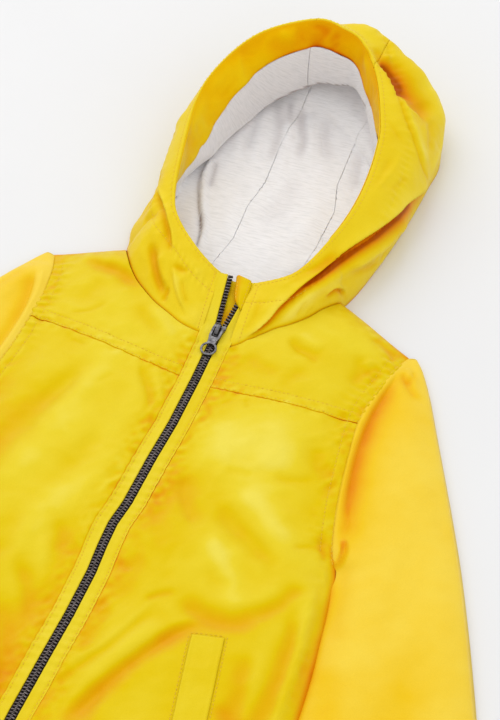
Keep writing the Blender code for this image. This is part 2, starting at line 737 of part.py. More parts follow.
def inner_profile(column, steps=8):
    """The seen side of facing and lining, from the rim to the foot of the inner wall."""
    outer, normal = outer_profile(column, FINE)
    start = column["rim"] - normal * (LAYER + CLOTH)
    if column["at_neck"]:
        line = []
        for before, point, after in zip(outer, outer[1:], outer[2:]):
            run = after - before
            away = Vector((run.x, run.y, 0)).normalized() * -run.z
            away.z = run.xy.length
            line.append(tuple(point - away.normalized() * (LAYER + CLOTH + THROAT_SLACK)))
        return [Vector(p) for p in even(line[:int(FINE * LINING_SHARE)], steps)]
    inward = Vector((*HOOD_CENTRE, 0)) - Vector((*start.xy, 0))
    inward.normalize()
    slope = column["slope"]
    up = Vector((0, 0, 1))
    facing = start + FACING_WIDTH * (math.cos(slope) * inward - math.sin(slope) * up)
    foot = Vector((*(start + inward * column["foot_in"]).xy, LAYER + CLOTH))
    facing.z = max(facing.z, FACING_LEAST_Z)
    lip_slope = math.radians(LIP_SLOPE)
    lip = facing + LIP_LENGTH * (math.cos(lip_slope) * inward - math.sin(lip_slope) * up)
    back, down = LIP_TUCK
    tuck = lip - inward * back - up * down
    rest = [facing.lerp(foot, 0.4), facing.lerp(foot, 0.8)]
    roll = column["roll"]
    knees = [rest[0].lerp(lip, roll), rest[1].lerp(tuck, roll)]
    line = [tuple(p) for p in (start, facing, *knees, foot)]
    line = [(x, y, max(z, LAYER + CLOTH)) for x, y, z in spline(line, 4)]
    return [Vector(p) for p in even(line, steps)]


def back_neck_y(x):
    left, right = NECK_SEAM["left"][-1], NECK_SEAM["right"][-1]
    table = [(-left[0], left[1]), (0, BACK_NECK_Y), (right[0], right[1])]
    return lookup(table, x)[0] + SEAM_GAP


def shell_mesh(name, profiles, columns, base_z, flip):
    """A bowl: the walls, and a base that closes under it, open along the front neck."""
    bm = bmesh.new()
    centre = bm.verts.new(Vector((*HOOD_CENTRE, base_z)) * MM)
    walls, base = [], []
    for column, profile in zip(columns, profiles):
        wall = [bm.verts.new(point * MM) for point in profile]
        foot = profile[-1]
        if column["at_neck"]:
            foot = Vector((foot.x, back_neck_y(foot.x), base_z))
            start = bm.verts.new(foot * MM)
        else:
            start = wall[-1]
        line = [start]
        for step in range(1, BASE_STEPS):
            point = foot.lerp(Vector((*HOOD_CENTRE, base_z)), step / BASE_STEPS)
            point.z = base_z
            line.append(bm.verts.new(point * MM))
        walls.append(wall)
        base.append(line)
    quads = []
    for a, b in zip(walls, walls[1:]):
        quads += [(a[i], a[i + 1], b[i + 1], b[i]) for i in range(len(a) - 1)]
    for a, b in zip(base, base[1:] + base[:1]):
        quads += [(a[i], a[i + 1], b[i + 1], b[i]) for i in range(len(a) - 1)]
        quads.append((a[-1], centre, b[-1]))
    for quad in quads:
        bm.faces.new(quad[::-1] if flip else quad)
    mesh = bpy.data.meshes.new(name)
    bm.to_mesh(mesh)
    bm.free()
    mesh.shade_smooth()
    return mesh


def prism(name, plan, collection):
    return cutter(outline_plate(name, [plan], FAR, None, collection))


def strip_plans():
    """Plans of the centre strip and of what lies on each side of it."""
    half, foot, gap = STRIP_HALF, STRIP_FOOT_Y, SEAM_GAP
    strip = [(-half, foot), (half, foot), (half, FAR), (-half, FAR)]
    right = [(0.01, -FAR), (FAR, -FAR), (FAR, FAR), (half + gap, FAR), (half + gap, foot),
             (0.01, foot - gap)]
    left = [(-x, y) for x, y in reversed(right)]
    return {"strip": strip, "right": right, "left": left}


def build_hood(cloth, jersey, collection, cutters):
    columns = hood_columns()
    outer = [outer_profile(column)[0] for column in columns]
    inner = [inner_profile(column) for column in columns]
    facing, lining = [], []
    for profile in inner:
        line = even([tuple(p) for p in profile], 2 * FINE)
        length = sum(math.dist(a, b) for a, b in zip(line, line[1:]))
        share = min(FACING_WIDTH / length, FACING_SHARE)
        table = [(i / (2 * FINE), *p) for i, p in enumerate(line)]
        facing.append([Vector(lookup(table, t)) for t in stations(0, share, FACING_STEPS)])
        start = share + TURN_GAP / length
        lining.append([Vector(lookup(table, t)) for t in stations(start, 1, LINING_STEPS)])
    tools = {part: prism("hood_cut_" + part, plan, cutters)
             for part, plan in strip_plans().items()}
    outer_mesh = shell_mesh("hood outer", outer, columns, 0.0, flip=True)
    lining_mesh = shell_mesh("hood lining", lining, columns, LAYER + CLOTH, flip=False)
    for part, tool in tools.items():
        for kind, mesh, mat in (("hood_", outer_mesh, cloth), ("lining_", lining_mesh, jersey)):
            item = add_object(kind + part, mesh.copy(), mat, collection)
            thicken(item, CLOTH)
            boolean(item, tool, "INTERSECT")
    bm = bmesh.new()
    verts = [[bm.verts.new(p * MM) for p in line] for line in facing]
    for a, b in zip(verts, verts[1:]):
        for i in range(FACING_STEPS):
            bm.faces.new((a[i], b[i], b[i + 1], a[i + 1]))
    mesh = bpy.data.meshes.new("facing")
    bm.to_mesh(mesh)
    bm.free()
    mesh.shade_smooth()
    thicken(add_object("hood_facing", mesh, cloth, collection), CLOTH)


# ---------------------------------------------------------------- the jacket

def main():
    clear_scene()
    parts = bpy.data.collections.new("rain_jacket")
    cutters = bpy.data.collections.new("cutters")
    for collection in (parts, cutters):
        bpy.context.scene.collection.children.link(collection)
    cloth = material("yellow_nylon", (0.87, 0.62, 0.02), 0.42)
    jersey = material("grey_marl_jersey", (0.78, 0.77, 0.78), 0.9)
    metal = material("gunmetal", (0.22, 0.21, 0.22), 0.35, metallic=1.0)
    tape = material("dark_tape", (0.05, 0.045, 0.045), 0.7)
    build_back(cloth, parts)
    for side in SIGN:
        build_yoke(side, cloth, parts)
        build_front(side, cloth, parts)
        build_sleeve(side, cloth, parts)
        build_welt(side, cloth, parts)
        build_band(side, cloth, parts)
        build_tape(side, tape, parts)
    build_chain(metal, parts)
    build_chin_guard(cloth, parts)
    build_slider(metal, parts, cutters)
    build_pull(metal, parts)
    build_hood(cloth, jersey, parts, cutters)


main()
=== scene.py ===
"""A child's hooded rain jacket of yellow nylon, zipped up and laid flat, its hood spread open.

The frame is the CAD model's: the origin is under the zip at the front neck seam, +Y runs up
the zip to the hood, +X is the viewer's right, +Z is up. Sizes are in millimetres until the
meshes are made. Left and right are the viewer's.
"""
import math

import bmesh
import bpy
import numpy as np
from mathutils import Matrix, Vector


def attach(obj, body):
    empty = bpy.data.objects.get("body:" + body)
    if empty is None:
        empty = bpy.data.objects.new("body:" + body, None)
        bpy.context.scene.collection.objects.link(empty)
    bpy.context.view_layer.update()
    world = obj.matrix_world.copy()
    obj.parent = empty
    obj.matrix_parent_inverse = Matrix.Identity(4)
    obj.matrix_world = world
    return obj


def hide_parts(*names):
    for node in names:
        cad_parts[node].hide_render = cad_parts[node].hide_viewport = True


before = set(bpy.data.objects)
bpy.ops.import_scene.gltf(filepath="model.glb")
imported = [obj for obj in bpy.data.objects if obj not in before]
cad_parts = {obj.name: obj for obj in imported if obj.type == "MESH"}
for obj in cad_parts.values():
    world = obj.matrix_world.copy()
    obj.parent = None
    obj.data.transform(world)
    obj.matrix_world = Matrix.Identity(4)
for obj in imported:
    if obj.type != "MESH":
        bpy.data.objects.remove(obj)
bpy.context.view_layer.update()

MM = 0.001
SIGN = {"right": 1, "left": -1}

# ---------------------------------------------------------------- sizes of the garment

CLOTH = 0.8             # wall of a seen layer, with its lining behind it

# Body, distances from the zip line outwards
HEM_Y = -395.0
BAND_WIDTH = 12.4
FRONT_Z = 12.4
FRONT_SWELL = 2.4
SEAM_Z = 2.8
HEM_DROP = 3.0
HEM_REACH = 45.0
SHOULDER_REACH = 26.0
BACK_NECK_Y = 62.0
BACK_Z = 1.2
BACK_WALL = 0.7
PIT_Y = -162.0
SLEEVE_LEAVES_Y = -300.0
SLEEVE_TUCK = 3.4           # under the edge of the body

# y, distance of the side edge from the zip line, height of the edge
SIDE_EDGE = {
    "right": [
        (40, 136, 2.8), (22, 131, 7.5), (-13, 125, 9.5), (-36, 124, 9.8), (-61, 127, 9.5),
        (-106, 134, 8.5), (-144, 143, 6.0), (-162, 151, 3.2), (-180, 155, 2.8),
        (-217, 161, 2.8), (-269, 168, 2.8), (HEM_Y, 177, 2.8),
    ],
    "left": [
        (44, 149, 2.8), (24, 142, 7.5), (-8, 137, 9.5), (-24, 137, 9.8), (-59, 138, 9.5),
        (-106, 144, 8.5), (-144, 153, 6.0), (-162, 160, 3.2), (-180, 164, 2.8),
        (-217, 170, 2.8), (-269, 177, 2.8), (HEM_Y, 186, 2.8),
    ],
}
SIDE_REACH = [(-195, 24.0), (-140, 55.0)]
# Distance from the zip line, y
NECK_SEAM = {
    "right": [(13.5, -4), (24, 8), (37, 22), (48, 32), (59, 46), (73, 72)],
    "left": [(13.5, 2), (24, 3), (35, 7), (59, 20), (83, 41), (98.5, 66)],
}
YOKE_SEAM = {
    "right": [(BAND_WIDTH, -44), (81, -41), (124, -36)],
    "left": [(BAND_WIDTH, -41), (39, -39), (137, -24)],
}
# How far the zip wanders from its straight line: y, x
ZIP_WANDER = [
    (HEM_Y, -0.4), (-345, -1.0), (-300, -0.1), (-262, 0.9), (-225, 0.6), (-201, -1.4),
    (-182, -2.2), (-162, 0.0), (-120, 0.5), (-85, 2.0), (-40, 1.5), (0, 0.0),
]

SLEEVE_OUTER = {
    "right": [(148, 31), (159, 12), (171, -12), (228, -130), (273, -239), (290, -288)],
    "left": [(161, 33), (173, 12), (185, -12), (242, -130), (287, -239), (304, -288)],
}
SLEEVE_CUFF_INNER = {"right": (186, -334), "left": (199, -334)}
SLEEVE_Z = 11.0
SLEEVE_OUTER_Z = 4.6
SLEEVE_OUTER_REACH = 22.0
SLEEVE_INNER_Z = 3.4
SLEEVE_INNER_REACH = 38.0
SLEEVE_ROUND = 3.4          # radius of its edges
SLEEVE_UNDER_Z = 1.1        # the layer that lies underneath
TIP_WIDTH = 5.0
ARMHOLE_ROWS = 96

# Hood: rim x, y, z; foot x, y; belly; slope of the facing; foot of the inner wall, inwards
# from the rim; roll of the crown. One row a section, from the left band to the right one.
HOOD_SECTIONS = [
    (-19.0, 56, 21.2, -12.2, 2.4, 1.0, 20, 0, 0.0),
    (-38, 65, 28, -35, 7.6, 2.0, 30, 0, 0.0),
    (-60, 83, 33, -59, 20.6, 3.0, 45, 0, 0.0),
    (-73, 101, 37, -98.6, 67, 4.0, 130, -22, 0.0),
    (-82, 133, 44, -97, 122, 8.0, 104, -8, 0.0),
    (-91, 187, 54, -99, 192, 9.0, 64, 13, 1.0),
    (-86, 228, 62, -96, 243, 9.0, 52, 22, 1.0),
    (-66, 267, 70, -80, 285, 10.0, 52, 26, 1.0),
    (-29, 291, 76, -36, 317, 10.0, 55, 28, 1.0),
    (-5, 291, 74, 0, 324, 10.0, 60, 28, 1.0),
    (13, 285, 70, 40, 319, 12.0, 66, 27, 1.0),
    (34, 258, 64, 75, 288, 16.0, 75, 15, 0.5),
    (50, 222, 58, 92, 246, 17.0, 88, 2, 0.0),
    (56, 202, 54, 92, 215, 17.0, 92, -2, 0.0),
    (60, 168, 49, 90, 176, 16.0, 95, -4, 0.0),
    (60, 132, 46, 84, 124, 13.0, 92, -4, 0.0),
    (53, 99, 41, 73, 73, 8.0, 80, 0, 0.0),
    (38, 65, 33, 48, 33, 4.0, 50, 0, 0.0),
    (10.0, 54, 21.2, 12.4, -3.2, 2.0, 25, 0, 0.0),
]
NECK_SECTIONS = (3, 16)     # where the neck seam turns to the back
HOOD_CENTRE = (-4.6, 180.0)
HOOD_WALL = 2.7             # from the outer face to the inner one
FACING_SHARE = 0.6
FACING_WIDTH = [             # at these sections
    (0, 19.0), (3, 21.0), (4.5, 27.0), (6.5, 26.0), (8, 21.0), (10, 19.0), (12, 22.0),
    (14, 25.0), (16, 20.0), (18, 19.0),
]
STRIP_HALF = 28.0
STRIP_FOOT_Y = 61.0
LIP_LENGTH = [               # at these sections
    (4, 4.0), (4.5, 12.0), (5, 22.0), (5.5, 28.0), (6, 34.0), (6.5, 38.0), (7, 39.0),
    (8, 34.0), (9, 28.0), (10, 20.0), (11, 6.0),
]
LIP_SLOPE = 85.0
THROAT_SLACK = 1.6
LINING_SHARE = 0.8
LIP_TUCK = (15.0, 9.0)
FACING_LEAST_Z = 9.0
RIM_RADIUS = 1.15

# Zip
CHAIN_HALF = 3.0
TOOTH_HALF = 2.7            # from the middle of the chain to the tape
TOOTH_PITCH = 2.5
TOOTH_TURN = 0.16           # how far closed teeth lean towards the slider, in radians
ZIP_TOP_Y = 56.0
ZIP_RISE = 0.21
SLIDER_Y = (0.5, 12.5)
PART_Y = 4.0
CHAIN_SPREAD = {
    "right": [(SLIDER_Y[1], 2.0), (35, 4.4), (ZIP_TOP_Y - 4, 5.6)],
    "left": [(SLIDER_Y[1], 2.6), (35, 6.0), (ZIP_TOP_Y - 1, 8.9)],
}
BAND_TOP_Y = {"right": ZIP_TOP_Y - 2, "left": ZIP_TOP_Y}
BAND_TOP_OUTER = {
    "right": [(-4, 13.0), (25, 12.6), (BAND_TOP_Y["right"], 10.7)],
    "left": [(2, 12.9), (25, 16.2), (BAND_TOP_Y["left"], 19.8)],
}
GUARD = [(-5.0, 57.0), (8.7, 54.6), (10.6, 27.0), (0.6, 36.0)]
GUARD_RISE = 1.9            # its edge, over the fronts
GUARD_PUFF = 1.5            # and how much higher its middle is
SLIDER_RISE = 1.7
BAND_GAP = 0.55             # between the teeth and the folded edge of a band
TAPE_WIDTH = 9.0
TAPE_WALL = 0.6
TAPE_DROP = 0.7             # below the fronts
FLAP_DROP = 2.4

# Pull tab
HINGE = (0.0, 8.5, 16.2)
PULL_LENGTH = 27.0
PULL_THICK = 1.2
PULL_HALF = 4.4
PULL_NECK_HALF = 3.2
RING_RADIUS = 6.1
RING_HOLE = 4.5
PULL_TILT = 4.4

# Pocket welts
WELT = [(93, -247), (116.6, -365)]
WELT_WIDTH = 22.0
WELT_RISE = 1.5

# Sewing
STITCH = 2.4
STITCH_PITCH = 3.2
GROOVE = 0.3                # how deep a row of stitches sinks in
GATHER_PITCH = 5.6
ROW_STEP = 1.5              # between the points that a row is laid through
OVER_FRONT = 0.12           # how far the yokes and the bands lie above the fronts
EDGE_ROW = 1.6              # the first row of topstitching, from a seam
TWIN_ROW = 9.0              # the second one
HEM_ROW = 18.0
EDGE_TURN = 2.2             # the row round the hood's opening, from its edge
FRONT_ROW = 3.4             # and down its fronts, from the bands
LEFT_ROW_END = 0.26         # shares of the way round, where the facing's row shows
RIGHT_ROW_START = 0.93

LAP_DROP = 1.8              # how wide the drop of an overhanging fold is
FOLD_REACH = 3.2            # how far a fold is felt, in its half widths
FOLD_END = 0.15             # what is left of its depth at its very ends
FROM_ABOVE = np.array([0.3, -0.6, 0.7])

CELL = 2.1                  # size of a mesh cell over the open cloth
FINE = 1.1                  # and beside seams
FINE_FADE = 12.0            # how far from there the cells reach their full size


# ---------------------------------------------------------------- small tools

def smooth(t):
    t = np.clip(t, 0.0, 1.0)
    return t * t * (3 - 2 * t)


def bell(x, width=1.0):
    """1 where x is nought, and falling away on both sides over about this width."""
    return np.exp(-(x / width) ** 2)


def unit(vectors):
    return vectors / (np.linalg.norm(vectors, axis=-1, keepdims=True) + 1e-9)


def ease_out(t):
    return 1 - (1 - np.clip(t, 0.0, 1.0)) ** 2


def table(rows):
    """The other columns of a table, as a function of its first one."""
    rows = np.array(rows, float)
    columns = rows[rows[:, 0].argsort()].T

    def look(key):
        found = [np.interp(key, columns[0], column) for column in columns[1:]]
        return found[0] if len(found) == 1 else found
    return look


def spline(rows, steps):
    """Catmull-Rom through the rows, with a number of steps between each two."""
    rows = np.array(rows, float)
    rows = np.concatenate([rows[:1], rows, rows[-1:]])
    t = np.arange(steps)[:, None] / steps
    spans = [
        0.5 * (2 * q + (r - p) * t + (2 * p - 5 * q + 4 * r - s) * t ** 2
               + (3 * q - p - 3 * r + s) * t ** 3)
        for p, q, r, s in zip(rows, rows[1:], rows[2:], rows[3:])]
    return np.concatenate(spans + [rows[-1:]])


def lengths(line):
    steps = np.linalg.norm(np.diff(line, axis=0), axis=1)
    return np.concatenate([[0.0], np.cumsum(steps)])


def at(line, places, values=None):
    """Points on a line at these lengths from its start, or other values given along it."""
    along = lengths(line)
    columns = np.array(line if values is None else values).T
    return np.stack([np.interp(places, along, column) for column in columns], 1)


def shared(line, shares):
    return at(line, shares * lengths(line)[-1])


def even(line, count):
    return at(line, np.linspace(0, lengths(line)[-1], count + 1))


def spaced(length, fine_start, fine_end):
    """Shares of a length, closer together near the ends that ask for it."""
    places = [0.0]
    while places[-1] < length:
        start = smooth((places[-1] - fine_start) / FINE_FADE) if fine_start else 1.0
        end = smooth((length - places[-1] - fine_end) / FINE_FADE) if fine_end else 1.0
        places.append(places[-1] + FINE + (CELL - FINE) * min(start, end))
    return np.array(places) / places[-1]


def near(points, line):
    """Distance from each point to a line, the share of the line's length at the nearest
    place, which side of it the point is on, seen from above and the hem, and its way there."""
    best = np.full(len(points), np.inf)
    share, side = np.zeros(len(points)), np.zeros(len(points))
    way = np.zeros(points.shape)
    along = lengths(line)
    for start, a, b in zip(along, line, line[1:]):
        step = b - a
        size = float(step @ step) or 1e-9
        t = np.clip((points - a) @ step / size, 0, 1)
        distance = np.linalg.norm(points - a - t[:, None] * step, axis=1)
        closer = distance < best
        best[closer] = distance[closer]
        share[closer] = (start + t[closer] * math.sqrt(size)) / along[-1]
        way[closer] = step / math.sqrt(size)
        cross = np.cross(step, points - a)
        if len(step) == 3:
            cross = cross @ FROM_ABOVE
        side[closer] = np.sign(cross[closer])
    return best, share, side, way


def within(points, line, reach):
    """Which points lie in the box round a line."""
    return np.all((points > line.min(0) - reach) & (points < line.max(0) + reach), 1)


def waves(points, size, seed):
    """A soft random field, about -1 to 1, with humps of about this size."""
    count = 14
    rng = np.random.default_rng(seed)
    ways = rng.normal(size=(count, points.shape[-1]))
    ways /= np.linalg.norm(ways, axis=1)[:, None]
    ways *= (math.pi / size * rng.uniform(0.6, 1.5, count))[:, None]
    phases = rng.uniform(0, 2 * math.pi, count)
    return 0.6 * np.cos(points @ ways.T + phases).sum(-1) / math.sqrt(count / 2)


def humps(points, *kinds):
    """Soft random humps on cloth, each kind with its height, size and seed."""
    return sum(height * waves(points, size, seed) for height, size, seed in kinds)


def crumples(points, seed):
    """Small sharp-edged crumples, about half a millimetre high."""
    bent = points + 3.0 * np.stack([waves(points, 24, seed + axis)
                                    for axis in range(points.shape[-1])], -1)
    ridges = 1 - 2 * np.abs(waves(bent, 13, seed + 5))
    fine = 1 - 2 * np.abs(waves(bent, 7, seed + 6))
    return 0.34 * ridges + 0.14 * fine


# ---------------------------------------------------------------- folds

def fold(depth, widths, *points, painted_shade=0.0, sharp=2.0, lean=0.0, ends=0.3, only=0, last=None,
         slide=0.0):
    """A soft trough (or a ridge, if depth is positive) along a line of points. widths are its
    half width at both ends, last its depth at the far end, lean makes one side steeper, the
    painted shade is how orange it is painted inside, standing for the shade in the fold (a
    negative one paints it paler, a painted highlight), only keeps it to the left (1) or the
    right (-1) of the line, and slide pushes the cloth across the line."""
    last = depth if last is None else last
    return dict(depth=(depth, last), widths=widths, line=spline(points, 5), painted_shade=painted_shade,
                sharp=sharp, lean=lean, ends=ends, only=only, slide=slide)


def lap(up, down, high, low, *points, painted_shade=0.0, below=1, ends=0.2, last=None, slide=0.0):
    """Cloth that hangs over a hollow: raised on one side of a line and sunk on the other, the
    raised side painted a little paler as a painted highlight and the hollow given the painted shade
    asked for.
    """
    last = down if last is None else last
    return [fold(up, high, *points, painted_shade=-0.1, ends=ends, only=-below, slide=slide * below),
            fold(-down, low, *points, painted_shade=painted_shade, ends=ends, only=below, last=-last)]


def imprint(points, item):
    """Which points a fold reaches, its strength there, its share and its way."""
    line = item["line"]
    inside = within(points, line, FOLD_REACH * max(item["widths"]))
    if not inside.any():
        return inside, 0.0, 0.0, 0.0
    distance, share, side, way = near(points[inside], line)
    first, last = item["widths"]
    width = (first + (last - first) * share) * (1 + item["lean"] * side)
    shape = np.exp(-(distance / width) ** item["sharp"])
    shape *= smooth(share / item["ends"] + FOLD_END)
    shape *= smooth((1 - share) / item["ends"] + FOLD_END)
    if item["only"]:
        shape *= smooth(0.5 + item["only"] * side * distance / LAP_DROP)
    return inside, shape, share, way


def relief(points, folds):
    """The height and the painted shade that folds add at points."""
    height = np.zeros(len(points))
    painted_shade = np.zeros(len(points))
    for item in folds:
        inside, shape, share, _ = imprint(points, item)
        start, end = item["depth"]
        height[inside] += (start + (end - start) * share) * shape
        painted_shade[inside] += item["painted_shade"] * shape ** 0.6
    return height, painted_shade


def pushed(points, normals, folds):
    """How far folds push the cloth over the hollows beside them, in space."""
    shift = np.zeros(points.shape)
    for item in folds:
        if item["slide"]:
            inside, shape, _, way = imprint(points, item)
            shift[inside] += item["slide"] * shape[:, None] * np.cross(normals[inside], way)
    return shift


def sewn(points, line, gather, pitch, spread, seed):
    """The groove along a row of stitches, and the small gathers on both sides of it."""
    height = np.zeros(len(points))
    inside = within(points, line, 3 * spread)
    if not inside.any():
        return height
    distance, share, side, _ = near(points[inside], line)
    along = share * lengths(line)[-1]
    rng = np.random.default_rng(seed)
    phase = 0.9 * np.sin(along / 17 + rng.uniform(0, 6)) + 1.3 * np.sin(along / 41 + 2)
    strength = 0.55 + 0.45 * np.sin(along / 23 + rng.uniform(0, 6))
    pucker = np.cos(2 * math.pi * along / pitch + phase * 2 + 0.35 * side) * strength
    height[inside] = gather * pucker * bell(distance, spread) - GROOVE * bell(distance)
    return height


